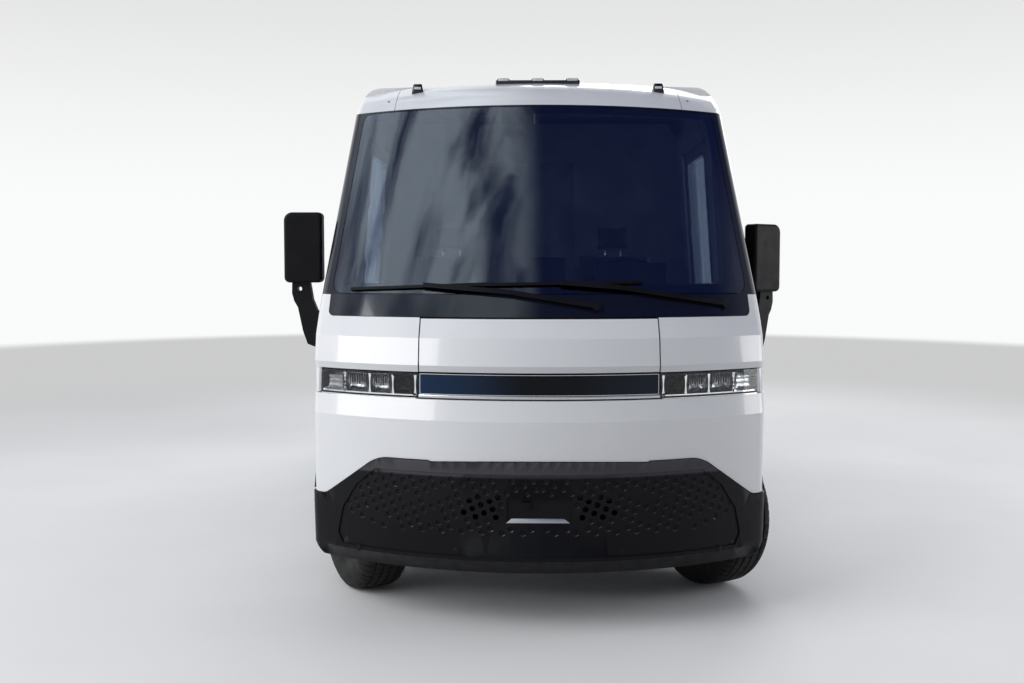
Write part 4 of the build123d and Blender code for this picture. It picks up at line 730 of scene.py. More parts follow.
def makeHeadlamps():
    rim = lampRims
    skin = skinOf("headlamp_lenses")
    low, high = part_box("headlamp_lenses")
    z0, z1 = low.z + lampCells["margins"][0], high.z - lampCells["margins"][1]
    edges = (*lampCells["edges"], high.x - lampCells["outer"])
    within = (low.z + lampCells["within"], high.z - lampCells["within"])
    foot, top = z0 - rim["out"], z1 + rim["out"]
    for side, sideName in ((1, "Left"), (-1, "Right")):
        bright, bowls, dim = [], [], []
        for x0, x1, kind in zip(edges, edges[1:], lampCells["kinds"]):
            bowl = lampBowl(skin, side, x0, x1, z0, z1, kind)
            (dim if kind == "dark" else bowls).append(bowl)
            if kind == "fluted":
                dim += lampSlats(skin, side, x0, x1, z0, z1)
        bright += [lampFin(skin, side, x, z0, z1) for x in edges[:-1]]
        ends = sorted((side * (edges[0] - rim["past"]), side * edges[-1]))
        # painted shade: the rim and bezel along the top edge go in with the dark cell, dark for the shadow
        # under the brow; those along the foot go in with the bright fins
        for bag, rimLow, rimHigh in ((bright, foot, foot + rim["tall"]), (dim, top - rim["tall"], top)):
            bag.append(stripOn(
                skin, "lampRim", *ends, rimLow, rimHigh, rim["proud"], rim["thick"], rim["columns"], 1,
            ))
        for bag, edgeZ, reach in ((dim, high.z, rim["bezelAbove"]), (bright, low.z, rim["bezelBelow"])):
            bag.append(stripOn(
                skin, "lampBezel", *ends, edgeZ + reach[0], edgeZ + reach[1], rim["bezelProud"],
                rim["bezelThick"], rim["columns"], 1, 0, within,
            ))
        settle(joinPieces("headlampBowls" + sideName, bowls), "body", "lamp_chrome", "bowlSilver", 30)
        settle(joinPieces("headlampFins" + sideName, bright), "body", "lamp_chrome", "lampChrome", 30)
        settle(joinPieces("headlampDarkCell" + sideName, dim), "body", "gloss_black", "lampDark", 30)
    print("headlamp cells made")


makeHeadlamps()

# light bar: a bright line round the dark panel and a satin strip beneath it
barTrim = {
    "half": 0.5605, "low": 1.1285, "high": 1.2245, "line": 0.0028, "proud": 0.0008, "thick": 0.0014,
    "columns": 80, "strip": (-0.565, 0.565, 1.1118, 1.1262), "stripProud": 0.0015, "stripThick": 0.003,
    "stripEdge": 0.0008,
}


def makeBarTrim():
    look = barTrim
    skin = skinOf("light_panel")
    half, low, high, line, columns = (look[key] for key in ("half", "low", "high", "line", "columns"))
    lines = [
        stripOn(skin, "barLine", *ends, look["proud"], look["thick"], *grid)
        for ends, grid in (
            ((-half, half, high - line, high), (columns, 1)), ((-half, half, low, low + line), (columns, 1)),
            ((-half, -half + line, low, high), (1, 4)), ((half - line, half, low, high), (1, 4)),
        )
    ]
    settle(joinPieces("lightBarLine", lines), "body", "lamp_chrome", "brightTrim")
    strip = stripOn(
        skin, "lightBarStrip", *look["strip"], look["stripProud"], look["stripThick"], columns, 2,
        look["stripEdge"],
    )
    settle(strip, "body", "lamp_chrome", "brightTrim")
    print("light bar trimmed")


makeBarTrim()

# plate recess: sloping ledge at its foot in bright trim, a painted highlight for the light on its slope, and a
# small moulded tab
plateLedge = {
    "topHalf": 0.122, "footHalf": 0.148, "top": 0.561, "foot": 0.5405, "shift": -0.005, "deep": 0.003,
    "sunk": 0.0002, "proud": 0.001, "edge": 0.0012, "floorAt": (0.06, 0.62), "faceAt": (0, 0.52),
}
plateTab = {
    "x": -0.057, "z": 0.622, "wide": 0.046, "tall": 0.034, "proud": 0.02, "sunk": 0.0003, "edge": 0.003,
    "footWide": 0.55, "footDeep": 0.7,
}


def makePlateLedge():
    skin = skinOf("lower_bumper")
    floorY, faceY = (spotOn(skin, *plateLedge[place])[0].y for place in ("floorAt", "faceAt"))
    deselectAll()
    bpy.ops.mesh.primitive_cube_add(size=1)
    ledge = bpy.context.object
    ledge.name = "plateLedge"
    for vertex in ledge.data.vertices:
        rim = "top" if vertex.co.z > 0 else "foot"
        y = floorY - plateLedge["sunk"]
        if vertex.co.y < 0:
            y = floorY - plateLedge["deep"] if rim == "top" else faceY + plateLedge["proud"]
        x = plateLedge["shift"] + math.copysign(plateLedge[rim + "Half"], vertex.co.x)
        vertex.co = (x, y, plateLedge[rim])
    roundEdges(ledge, plateLedge["edge"])
    # painted highlight: the ledge is given bright trim for the light that its upward slope catches
    settle(ledge, "body", "lamp_chrome", "brightTrim")
    x, z = plateTab["x"], plateTab["z"]
    tab = blockAbout(
        "plateTab", x, z, plateTab["wide"] / 2, plateTab["tall"] / 2,
        floorY - plateTab["proud"], floorY - plateTab["sunk"], plateTab["edge"],
    )
    for vertex in tab.data.vertices:
        if vertex.co.z < z:
            vertex.co.x = x + (vertex.co.x - x) * plateTab["footWide"]
            vertex.co.y = floorY + (vertex.co.y - floorY) * plateTab["footDeep"]
    settle(tab, "body", "trim_black", "trimBlack")
    print("plate recess finished")


makePlateLedge()


# a disc with rounded edges that lies square on a panel
def discOn(skin, x, z, sides, radius, depth, edge):
    spot, normal = spotOn(skin, x, z)
    deselectAll()
    bpy.ops.mesh.primitive_cylinder_add(vertices=sides, radius=radius, depth=depth)
    disc = bpy.context.object
    standOn(disc, spot, normal)
    roundEdges(disc, edge)
    return disc


# round parking sensors let into the lower lip, each a button in a ring
sensorLook = {
    "places": ((0.8735, 0.363), (0.387, 0.399)), "discs": ((0.0165, 0.0016), (0.0125, 0.0032)), "edge": 0.6,
    "sides": 40,
}


def makeSensors():
    look = sensorLook
    skin = skinOf("lower_bumper")
    discs = [
        discOn(skin, side * x, z, look["sides"], radius, proud * 2, proud * look["edge"])
        for x, z in look["places"] for side in (-1, 1) for radius, proud in look["discs"]
    ]
    settle(joinPieces("parkingSensors", discs), "body", "trim_black", "lampDark")
    print("sensors set")


makeSensors()

# small dark screws at the outer ends of the roof header
headerScrews = {"x": 0.84, "z": 2.662}
screwDisc = {"sides": 32, "radius": 0.007, "depth": 0.005, "edge": 0.001}


def makeHeaderScrews():
    skin = skinOf("roof_header")
    screws = [discOn(skin, side * headerScrews["x"], headerScrews["z"], **screwDisc) for side in (-1, 1)]
    settle(joinPieces("headerScrews", screws), "body", "frame_black", "frameBlack")
    print("header screws set")


makeHeaderScrews()


# wheel stations: centre from the tyre's box, outward direction from the joint that spins the wheel
def wheelStations():
    stations = []
    for joint in frame["record"]["behaviour"]["joints"]:
        if joint["child"].startswith("wheel_"):
            place = joint["child"][6:]
            low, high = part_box("tyre_" + place)
            centre = (low + high) / 2
            turn = math.atan2(joint["axis"][1], joint["axis"][0]) + (math.pi if centre.x < 0 else 0)
            stations.append((place, centre, turn))
    return stations


# puts a copy of a piece modelled about the axle on its wheel, by the copy's location and turn
def copyToWheel(piece, name, centre, turn):
    pick(piece)
    bpy.ops.object.duplicate()
    copy = bpy.context.object
    copy.name = name
    copy.data.name = name
    copy.rotation_euler = (0, 0, turn)
    copy.location = centre
    return copy


# tyres: one pitch of the tread shaped on a grid, repeated round the axle and merged
# bead, wall and shoulder are half widths with radii, ridges radii with heights, crown a half width and drop
tyreLook = {
    "pitches": 62, "radius": 0.4, "crown": (0.085, 0.003), "ribsFrom": (0.088, 0.08), "treadFrom": 0.39,
    "grooves": (0.067, 0.023), "grooveWidth": 0.0095, "grooveDeep": 0.0075, "grooveLip": 0.001,
    "zigzag": 0.0022, "beside": 0.006, "slotPart": 0.2, "slotDeep": 0.006, "slotFrom": 0.0718,
    "slotTo": 0.118, "slotOver": 0.372, "sipeDeep": 0.0025, "sipeTo": 0.06, "bead": (0.1015, 0.2185),
    "wallSteps": 27, "widest": 0.135, "wall": ((0.1015, 0.236), (0.1604, 0.304), (0.117, 0.376)),
    "shoulder": ((0.117, 0.376), (0.1135, 0.3815), (0.109, 0.3865), (0.103, 0.3908), (0.095, 0.3943)),
    "ridges": ((0.262, 0.0014), (0.268, 0.0014), (0.346, 0.001), (0.352, 0.001)), "ridgeWide": 0.0016,
}


# the section from one bead over the bulged wall and crown to the other, as widths, radii and depths of tread
def tyreSection():
    look = tyreLook
    half, lip = look["grooveWidth"] / 2, look["grooveLip"]
    side = [(*look["bead"], 0), (*look["wall"][0], 0)]
    for step in range(1, look["wallSteps"]):
        t = step / look["wallSteps"]
        x, r = ((1 - t) ** 2 * a + 2 * t * (1 - t) * b + t * t * c for a, b, c in zip(*look["wall"]))
        ridge = sum(rise * math.exp(-((r - at) / look["ridgeWide"]) ** 2) for at, rise in look["ridges"])
        side.append((min(x + ridge, look["widest"]), r, 0))
    side += [(x, r, 0) for x, r in look["shoulder"]]
    outer, inner = look["grooves"]
    crown = [(x, 0) for x in look["ribsFrom"]]
    for groove, ribMiddle in ((outer, (outer + inner) / 2), (inner, 0.0)):
        crown += [(groove + half, 0), (groove + half - lip, look["grooveDeep"])]
        crown += [(groove - half + lip, look["grooveDeep"]), (groove - half, 0), (ribMiddle, 0)]
    crownHalf, crownDrop = look["crown"]
    side += [(x, look["radius"] - crownDrop * (x / crownHalf) ** 2, deep) for x, deep in crown]
    return side + [(-x, r, deep) for x, r, deep in reversed(side[:-1])] + [side[0]]


# rows along one pitch: a slot across the shoulders between the first rows and a sipe in the ribs further on
def makeTyres():
    look = tyreLook
    section = tyreSection()
    rows = (0.0, 0.03, look["slotPart"] - 0.03, look["slotPart"], 0.5, 0.6, 0.62, 0.66, 0.68, 1.0)
    slotRows, sipeRows = (1, 2), (6, 7)
    deselectAll()
    bpy.ops.mesh.primitive_grid_add(x_subdivisions=len(section) - 1, y_subdivisions=len(rows) - 1, size=1)
    pitch = bpy.context.object
    wedge = 2 * math.pi / look["pitches"]
    for vertex in pitch.data.vertices:
        column = round((vertex.co.x + 0.5) * (len(section) - 1))
        row = round((vertex.co.y + 0.5) * (len(rows) - 1))
        x, r, deep = section[column]
        byGroove = any(abs(abs(x) - groove) < look["beside"] for groove in look["grooves"])
        if deep or byGroove and r > look["treadFrom"]:
            x += look["zigzag"] * (abs(rows[row] - 0.5) * 4 - 1)
        if look["slotFrom"] <= abs(x) <= look["slotTo"] and r > look["slotOver"] and row in slotRows:
            deep = max(deep, look["slotDeep"])
        if abs(x) < look["sipeTo"] and not deep and row in sipeRows:
            deep = look["sipeDeep"]
        angle = rows[row] * wedge
        vertex.co = (x, (r - deep) * math.sin(angle), (r - deep) * math.cos(angle))
    bpy.ops.object.empty_add(location=(0, 0, 0), rotation=(-wedge, 0, 0))
    turner = bpy.context.object
    ringing = pitch.modifiers.new("ringing", "ARRAY")
    ringing.use_relative_offset = False
    ringing.use_object_offset = True
    ringing.offset_object = turner
    ringing.count = look["pitches"]
    ringing.use_merge_vertices = True
    ringing.use_merge_vertices_cap = True
    ringing.merge_threshold = 0.0002
    applyAll(pitch)
    bpy.data.objects.remove(turner)
    facesOut(pitch)
    for place, centre, turn in wheelStations():
        tyre = copyToWheel(pitch, "treadedTyre_" + place, centre, turn)
        settle(tyre, "wheel_" + place, "tyre_rubber", "tyreRubber", 24)
        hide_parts("tyre_" + place)
    bpy.data.objects.remove(pitch)
    print("tyres made")


makeTyres()

# wheel fittings: six flanged nuts, a domed hub cap and a valve, modelled once about the axle
# flange and tip are shares of the nut's width with their lengths, foot and cap a radius, a length and a shift
nutLook = {
    "count": 6, "circle": 0.082, "seat": 0.0778, "across": 0.0125, "tall": 0.02,
    "flange": (1.18, 0.005), "tip": (0.62, 0.006), "lift": 0.001, "short": 0.004,
}
capLook = {
    "radius": 0.058, "seat": 0.0915, "thick": 0.008, "edge": 0.003, "faceOver": 0.001,
    "insets": ((0.007, -0.0015), (0.0015, 0.003), (0.01, 0.0022), (0.014, 0.0016), (0.014, 0.0006)),
}
valveLook = {
    "circle": 0.19, "seat": 0.058, "long": 0.034, "stem": 0.0042, "foot": (0.0085, 0.014, 0.004),
    "cap": (0.0056, 0.011, -0.002),
}


# a round or hexagonal bit along the axle
def roundBit(sides, radius, depth, x, edge, steps=2):
    deselectAll()
    bpy.ops.mesh.primitive_cylinder_add(
        vertices=sides, radius=radius, depth=depth, location=(x, 0, 0), rotation=(0, math.pi / 2, 0),
    )
    bit = bpy.context.object
    applyPlace(bit)
    roundEdges(bit, edge, steps)
    return bit


# insets the chosen faces step by step, each step moved along one axis
def stepFaces(piece, insets, direction):
    pick(piece)
    bpy.ops.object.mode_set(mode="EDIT")
    for inset, rise in insets:
        bpy.ops.mesh.inset(thickness=inset)
        bpy.ops.transform.translate(value=[rise * part for part in direction])
    bpy.ops.object.mode_set(mode="OBJECT")


def makeNuts():
    look = nutLook
    across, seat, tall = look["across"], look["seat"], look["tall"]
    nut = joinPieces("wheelNut", [
        roundBit(28, across * look["flange"][0], look["flange"][1], seat + look["flange"][1] / 2, 0.0012),
        roundBit(6, across, tall - look["short"], seat + tall / 2 + look["lift"], 0.0016),
        roundBit(20, across * look["tip"][0], look["tip"][1], seat + tall, 0.0022, 3),
    ])
    nuts = []
    for count in range(look["count"]):
        pick(nut)
        bpy.ops.object.duplicate()
        angle = 2 * math.pi * (count + 0.5) / look["count"]
        bpy.context.object.location = (0, look["circle"] * math.sin(angle), look["circle"] * math.cos(angle))
        nuts.append(bpy.context.object)
    bpy.data.objects.remove(nut)
    ring = joinPieces("wheelNuts", nuts)
    applyPlace(ring)
    return ring


def makeHubCap():
    look = capLook
    cap = roundBit(56, look["radius"], look["thick"], look["seat"] + look["thick"] / 2, look["edge"], 3)
    bpy.ops.object.mode_set(mode="EDIT")
    bpy.ops.mesh.select_all(action="DESELECT")
    bpy.ops.object.mode_set(mode="OBJECT")
    for face in cap.data.polygons:
        face.select = face.normal.x > 0.99 and face.area > look["faceOver"]
    stepFaces(cap, look["insets"], (1, 0, 0))
    return cap


def makeValve():
    look = valveLook
    seat, long = look["seat"], look["long"]
    footRadius, footLong, footAt = look["foot"]
    capRadius, capLong, capAt = look["cap"]
    valve = joinPieces("tyreValve", [
        roundBit(20, look["stem"], long, seat + long / 2, 0.0006),
        roundBit(24, footRadius, footLong, seat + footAt, 0.002),
        roundBit(16, capRadius, capLong, seat + long + capAt, 0.001),
    ])
    valve.location = (0, 0, look["circle"])
    applyPlace(valve)
    return valve


def makeWheelFittings():
    fittings = (
        (makeNuts(), "wheelNuts_", "cast_steel", "brightTrim"),
        (makeHubCap(), "hubCap_", "wheel_steel", "wheelSteel"),
        (makeValve(), "tyreValve_", "tyre_rubber", "tyreRubber"),
    )
    for place, centre, turn in wheelStations():
        for piece, name, slotName, finishName in fittings:
            settle(copyToWheel(piece, name + place, centre, turn), "wheel_" + place, slotName, finishName)
    for piece, *rest in fittings:
        bpy.data.objects.remove(piece)
    print("wheel fittings set")


makeWheelFittings()

# roof lamps: low dark housings, rounded over the top, with a pale lens window in each front
# lens is its half width and half height, lensIn how far its front and back lie behind the housing's front
roofSideLamp = {
    "x": 0.68, "half": 0.036, "top": 2.768, "front": -1.753, "back": -1.665, "sunk": 0.004, "narrowing": 0.3,
    "slope": 0.010, "frontPart": 0.04, "edge": 0.011, "lens": (0.019, 0.007), "lensIn": (0.0022, 0.012),
    "lensUp": 0.004, "lensEdge": 0.003,
}
roofBarLamp = {
    "half": 0.238, "top": 2.784, "front": -1.737, "back": -1.676, "sunk": 0.004, "over": 0.004, "edge": 0.006,
    "windows": (-0.195, 0.0, 0.195), "windowHalf": 0.044, "windowTop": 2.799, "windowSunk": 0.003,
    "proud": 0.001, "windowEdge": 0.009, "narrowing": 0.82, "slope": 0.006, "frontPart": 0.03,
    "lens": (0.030, 0.0085), "lensIn": (-0.0005, 0.012), "lensUp": -0.001, "lensEdge": 0.003,
}


def roofLampLens(look, x, low, high):
    near, far = (look["front"] + reach for reach in look["lensIn"])
    middle = (low + high) / 2 + look["lensUp"]
    return blockAbout("roofLampLens", x, middle, *look["lens"], near, far, look["lensEdge"], 3)


def makeRoofLamps():
    roofTree = treeOf(nodes["roof_header"], nodes["roof"])

    def roofZ(x, y):
        return roofTree.ray_cast(Vector((x, y, 4)), Vector((0, 0, -1)))[0].z

    housings, lenses = [], []
    look = roofSideLamp
    for side in (-1, 1):
        x, half, front, top = side * look["x"], look["half"], look["front"], look["top"]
        base = roofZ(x, front) - look["sunk"]
        housing = roundedBlock(
            "roofLampSide", (x - half, front, base), (x + half, look["back"], top), look["edge"], 4,
        )
        for vertex in housing.data.vertices:
            rise = (vertex.co.z - base) / (top - base)
            vertex.co.x = x + (vertex.co.x - x) * (1 - look["narrowing"] * rise)
            vertex.co.y += look["slope"] * rise * (1 if vertex.co.y < front + look["frontPart"] else -1)
        housings.append(housing)
        lenses.append(roofLampLens(look, x, base, top))
    look = roofBarLamp
    half, front, back, top = (look[key] for key in ("half", "front", "back", "top"))
    base = roofZ(half, front) - look["sunk"]
    housings.append(roundedBlock(
        "roofLampBar", (-half, front, base), (half, back, top + look["over"]), look["edge"], 3,
    ))
    base = roofZ(0, front) - look["windowSunk"]
    for x in look["windows"]:
        wide, proud = look["windowHalf"], look["proud"]
        hump = roundedBlock(
            "roofLampHump", (x - wide, front - proud, base), (x + wide, back + proud, look["windowTop"]),
            look["windowEdge"], 4,
        )
        for vertex in hump.data.vertices:
            if vertex.co.z > top:
                vertex.co.x = x + (vertex.co.x - x) * look["narrowing"]
                vertex.co.y += look["slope"] * (1 if vertex.co.y < front + look["frontPart"] else -1)
        housings.append(hump)
        lenses.append(roofLampLens(look, x, top, look["windowTop"]))
    housing = settle(joinPieces("roofLampHousings", housings), "body", "trim_black", "glossBlack")
    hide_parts("roof_lamps")
    settle(joinPieces("roofLampLenses", lenses), "body", "lamp_chrome", "lampLens")
    print("roof lamps made")


makeRoofLamps()

# mirror glass: a flat pane over a small wide-angle pane on the back of each head, each in a thin frame
mirrorLook = {
    "half": 0.088, "panes": ((-0.028, 0.170), (-0.170, -0.040)), "back": 0.045, "proud": 0.0012, "thick": 0.004,
    "frame": 0.004, "edge": 0.0011, "heads": (((-1.265, 0.956, 1.8345), 0.0), ((1.2641, 1.231, 1.7825), 35.0)),
}


def makeMirrorGlass():
    look = mirrorLook
    back, proud = look["back"], look["proud"]
    for name, slotName, finishName, grow, out in (
        ("mirrorGlass", "lamp_chrome", "mirrorSilver", 0.0, proud * 2),
        ("mirrorPaneFrames", "trim_black", "trimBlack", look["frame"], proud),
    ):
        panes = []
        for (x, depth, z), turn in look["heads"]:
            for low, high in look["panes"]:
                pane = roundedBlock(
                    "mirrorPane", (-look["half"] - grow, back - look["thick"], low - grow),
                    (look["half"] + grow, back + out, high + grow), look["edge"],
                )
                pane.location = (x, noseY + depth, z)
                pane.rotation_euler = (0, 0, math.radians(turn))
                applyPlace(pane)
                panes.append(pane)
        settle(joinPieces(name, panes), "body", slotName, finishName)
    print("mirror glass set")


makeMirrorGlass()

# tail lamps: a red stop lamp over an amber turn lamp and a clear reversing lamp, each ribbed
tailLook = {
    "cells": (
        ("lampRed", "lamp_red", 1.405, 1.748), ("lampAmber", "lamp_red", 1.292, 1.397),
        ("lampLens", "lamp_chrome", 1.212, 1.284),
    ),
    "half": 0.044, "inset": 0.007, "sunk": 0.012, "proud": 0.004, "edge": 0.004,
    "rib": {"pitch": 0.0125, "inset": 0.006, "half": 0.0016, "from": 0.0025, "to": 0.0056, "edge": 0.0012},
}


def makeTailLamps():
    look, rib = tailLook, tailLook["rib"]
    low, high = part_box("tail_lamps")
    back, wide = high.y, look["half"] - look["inset"]
    for finishName, slotName, z0, z1 in look["cells"]:
        parts = []
        for side in (-1, 1):
            x = side * (high.x - look["half"])
            parts.append(roundedBlock(
                "tailCell", (x - wide, back - look["sunk"], z0), (x + wide, back + look["proud"], z1),
                look["edge"], 3,
            ))
            ribs = int((z1 - z0) / rib["pitch"]) - 1
            for count in range(ribs):
                z = z0 + (count + 1) * (z1 - z0) / (ribs + 1)
                parts.append(blockAbout(
                    "tailRib", x, z, wide - rib["inset"], rib["half"], back + rib["from"], back + rib["to"],
                    rib["edge"],
                ))
        settle(joinPieces("tail" + finishName[4:], parts), "body", slotName, finishName)
    print("tail lamps made")


makeTailLamps()

# seats: crowned pads with side bolsters, sewn channels and a corded edge, on a boxed pedestal with slides
seatPads = {
    "cuts": 31, "round": 0.032, "roundShare": 0.8, "pull": 0.012, "cord": 0.0042, "cordAt": 0.55,
    "centres": (0.5, -0.56), "fill": 0.6, "seamAt": 0.62, "seamWide": 0.009, "channelWide": 0.011,
    "channelEase": (0.56, 0.64), "bolsterRise": (0.6, 0.78), "bolsterFall": (0.84, 1.0),
    "pads": {
        "Base": {
            "half": (0.226, 0.2425, 0.042), "place": (0, -1.1475, 1.172), "lean": 0, "crown": 0.014,
            "bolster": 0.014, "channels": (-0.52, -0.12, 0.28), "sewn": 0.007,
        },
        "Back": {
            "half": (0.226, 0.315, 0.052), "place": (0, -0.845, 1.505), "lean": 77.8, "crown": 0.012,
            "bolster": 0.018, "channels": (-0.6, -0.25, 0.1, 0.45), "sewn": 0.007,
        },
        "Rest": {
            "half": (0.106, 0.083, 0.036), "place": (0, -0.777, 1.925), "lean": 77.8, "crown": 0.009,
            "bolster": 0, "channels": (), "sewn": 0.0,
        },
    },
}
# pedestal is half width, front, back, low and high; the others start with their distance from the centre
seatFrame = {
    "pedestal": (0.185, -1.31, -0.90, 0.6405, 1.088), "waist": 0.16, "edge": 0.02, "foot": (0.012, 0.004, 0.01),
    "slides": (0.16, 0.022, -1.36, -0.84, 1.088, 1.122), "slideEdge": 0.004,
    "bracket": (0.228, -1.02, -0.80, 1.09, 1.36), "bracketHalf": 0.005, "bracketEdge": 0.0045,
    "bracketLean": 0.09, "posts": (0.05, 0.006, 1.79, 1.87, -0.792), "postLean": -12.2, "postEdge": 0.001,
}


def eased(value, low, high):
    t = min(max((value - low) / (high - low), 0), 1)
    return t * t * (3 - 2 * t)


# a pad's point from its place on a cube: a rounded block with drawn-in sides, crown, bolsters and sewn seams
def padPoint(look, u, v, w):
    pads = seatPads
    half = look["half"]
    edge = min(pads["round"], half[2] * pads["roundShare"])
    point = Vector((u * half[0], v * half[1], w * half[2]))
    core = Vector([max(-size + edge, min(size - edge, along)) for along, size in zip(point, half)])
    if (point - core).length > 0:
        point = core + (point - core).normalized() * edge
    point.x -= math.copysign(pads["pull"], u) * (1 - v * v) * abs(u) ** 4
    point.y -= math.copysign(pads["pull"], v) * (1 - u * u) * abs(v) ** 4
    if w > 0:
        lengthwise = 1 - abs(v) ** 6
        offChannels = [(v - channel) * half[1] / pads["channelWide"] for channel in look["channels"]]
        sewn = sum(math.exp(-off ** 2) for off in offChannels) * (1 - eased(abs(u), *pads["channelEase"]))
        if look["bolster"]:
            sewn += math.exp(-(((abs(u) - pads["seamAt"]) * half[0]) / pads["seamWide"]) ** 2) * lengthwise
        bolster = eased(abs(u), *pads["bolsterRise"]) * (1 - eased(abs(u), *pads["bolsterFall"])) * lengthwise
        crown = look["crown"] * (1 - u * u) * (1 - v * v)
        point.z += w * (crown + look["bolster"] * bolster - look["sewn"] * sewn)
    return point


def makePad(name, look):
    deselectAll()
    bpy.ops.mesh.primitive_cube_add(size=2)
    pad = bpy.context.object
    pad.name = name
    bpy.ops.object.mode_set(mode="EDIT")
    bpy.ops.mesh.subdivide(number_cuts=seatPads["cuts"])
    bpy.ops.object.mode_set(mode="OBJECT")
    for vertex in pad.data.vertices:
        vertex.co = padPoint(look, *vertex.co)
    smoothing = pad.modifiers.new("smoothing", "SUBSURF")
    smoothing.levels = smoothing.render_levels = 1
    applyAll(pad)
    return pad


# a round cord sewn along the edge of a pad's shown face
def makeCording(look):
    deselectAll()
    bpy.ops.mesh.primitive_torus_add(major_segments=168, minor_segments=8, major_radius=1, minor_radius=0.1)
    cording = bpy.context.object
    for vertex in cording.data.vertices:
        x, y, z = vertex.co
        flat = math.hypot(x, y)
        reach = max(abs(x), abs(y)) / flat
        u, v = x / flat / reach, y / flat / reach
        outward = Vector((u, v, 0)).normalized()
        vertex.co = padPoint(look, u, v, seatPads["cordAt"]) + outward * (flat - 1) * seatPads["cord"] * 10
        vertex.co.z += z * seatPads["cord"] * 10
    return cording


def makeSeatPads():
    for side, centre in zip(("Left", "Right"), seatPads["centres"]):
        cords = []
        for kind, look in seatPads["pads"].items():
            pad, cording = makePad("seat" + kind + side, look), makeCording(look)
            for piece in (pad, cording):
                piece.location = Vector(look["place"]) + Vector((centre, 0, 0))
                piece.rotation_euler = (math.radians(look["lean"]), 0, 0)
                applyPlace(piece)
            settle(pad, "body", "seat_cloth", "seatCloth", 50)
            cords.append(cording)
        settle(joinPieces("seatCording" + side, cords), "body", "seat_cloth", "seatPiping", 60)


def seatPedestal(centre):
    half, front, back, low, high = seatFrame["pedestal"]
    footTall, footWide, footLong = seatFrame["foot"]
    pedestal = roundedBlock(
        "seatPedestal", (centre - half, front, low), (centre + half, back, high), seatFrame["edge"], 4,
    )
    for vertex in pedestal.data.vertices:
        waist = 1 - seatFrame["waist"] * (1 - ((vertex.co.z - low) / (high - low) * 2 - 1) ** 2)
        vertex.co.x = centre + (vertex.co.x - centre) * waist
    half += footWide
    foot = roundedBlock(
        "seatFoot", (centre - half, front - footLong, low), (centre + half, back + footLong, low + footTall),
        footWide,
    )
    return [pedestal, foot]


def seatBracket(x):
    bracketHalf = seatFrame["bracketHalf"]
    front, back, low, high = seatFrame["bracket"][1:]
    bracket = roundedBlock(
        "seatBracket", (x - bracketHalf, front, low), (x + bracketHalf, back, high), seatFrame["bracketEdge"],
        3,
    )
    for vertex in bracket.data.vertices:
        rise = (vertex.co.z - low) / (high - low)
        vertex.co.y += seatFrame["bracketLean"] * rise * (1 if vertex.co.y < (front + back) / 2 else 0.5)
    return bracket


def headrestPost(x):
    radius, low, high, y = seatFrame["posts"][1:]
    deselectAll()
    bpy.ops.mesh.primitive_cylinder_add(
        vertices=24, radius=radius, depth=high - low, location=(x, y, (low + high) / 2),
        rotation=(math.radians(seatFrame["postLean"]), 0, 0),
    )
    post = bpy.context.object
    applyPlace(post)
    roundEdges(post, seatFrame["postEdge"])
    return post


def makeSeats():
    makeSeatPads()
    frames, posts = [], []
    slideAcross, wide, front, back, low, high = seatFrame["slides"]
    for centre in seatPads["centres"]:
        frames += seatPedestal(centre)
        for side in (-1, 1):
            x = centre + side * slideAcross
            slide = roundedBlock(
                "seatSlide", (x - wide, front, low), (x + wide, back, high), seatFrame["slideEdge"],
            )
            frames += [slide, seatBracket(centre + side * (seatFrame["bracket"][0] + seatFrame["bracketHalf"]))]
            posts.append(headrestPost(centre + side * seatFrame["posts"][0]))
    frames = settle(joinPieces("seatFrames", frames), "body", "dash_grey", "dashGrey")
    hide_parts("seats")
    settle(joinPieces("headrestPosts", posts), "body", "lamp_chrome", "brightTrim")
    print("seats made")


makeSeats()

# steering wheel: a ring with thumb grips, two side spokes, a lower spoke and a soft-edged centre pad
wheelGrip = {
    "place": (0.5, -1.7632, 1.6063), "lean": -0.6115, "radius": 0.2045, "grip": 0.0142,
    "thumb": 0.0016, "thumbAt": 0.42, "thumbLong": 0.16, "hub": (0.057, -0.034, 0.0215), "hubEdge": 0.003,
    "hubInsets": ((0.006, 0.0015), (0.0015, -0.002), (0.0015, 0.002), (0.014, 0.001), (0.014, 0.0004)),
    "spoke": (-0.012, 0.002), "spokeFrom": 0.045, "spokeShort": 0.004, "spokeEdge": 0.005, "lowerHalf": 0.022,
    "sideHalf": 0.021, "sideWide": 1.25, "sideTaper": 2.4, "widestAt": 0.13, "smooth": 40,
}


def steeringRim():
    look = wheelGrip
    deselectAll()
    bpy.ops.mesh.primitive_torus_add(
        major_segments=112, minor_segments=22, major_radius=look["radius"], minor_radius=look["grip"],
    )
    rim = bpy.context.object
    for vertex in rim.data.vertices:
        flat = math.hypot(vertex.co.x, vertex.co.y)
        angle = math.atan2(vertex.co.y, abs(vertex.co.x))
        thumb = math.exp(-((angle - look["thumbAt"]) / look["thumbLong"]) ** 2)
        swell = 1 + look["thumb"] / look["grip"] * thumb
        scale = (look["radius"] + (flat - look["radius"]) * swell) / flat
        vertex.co = (vertex.co.x * scale, vertex.co.y * scale, vertex.co.z * swell)
    return rim


def steeringSpokes():
    look = wheelGrip
    low, high = look["spoke"]
    inner, outer, edge = look["spokeFrom"], look["radius"] - look["spokeShort"], look["spokeEdge"]
    spokes = []
    for side in (-1, 1):
        x0, x1 = sorted((side * inner, side * outer))
        half = look["sideHalf"]
        spoke = roundedBlock("sideSpoke", (x0, -half, low), (x1, half, high), edge, 3)
        for vertex in spoke.data.vertices:
            vertex.co.y *= look["sideWide"] - look["sideTaper"] * abs(abs(vertex.co.x) - look["widestAt"])
        spokes.append(spoke)
    half = look["lowerHalf"]
    spokes.append(roundedBlock("lowerSpoke", (-half, -outer, low), (half, -inner, high), edge, 3))
    return joinPieces("steeringSpokes", spokes)


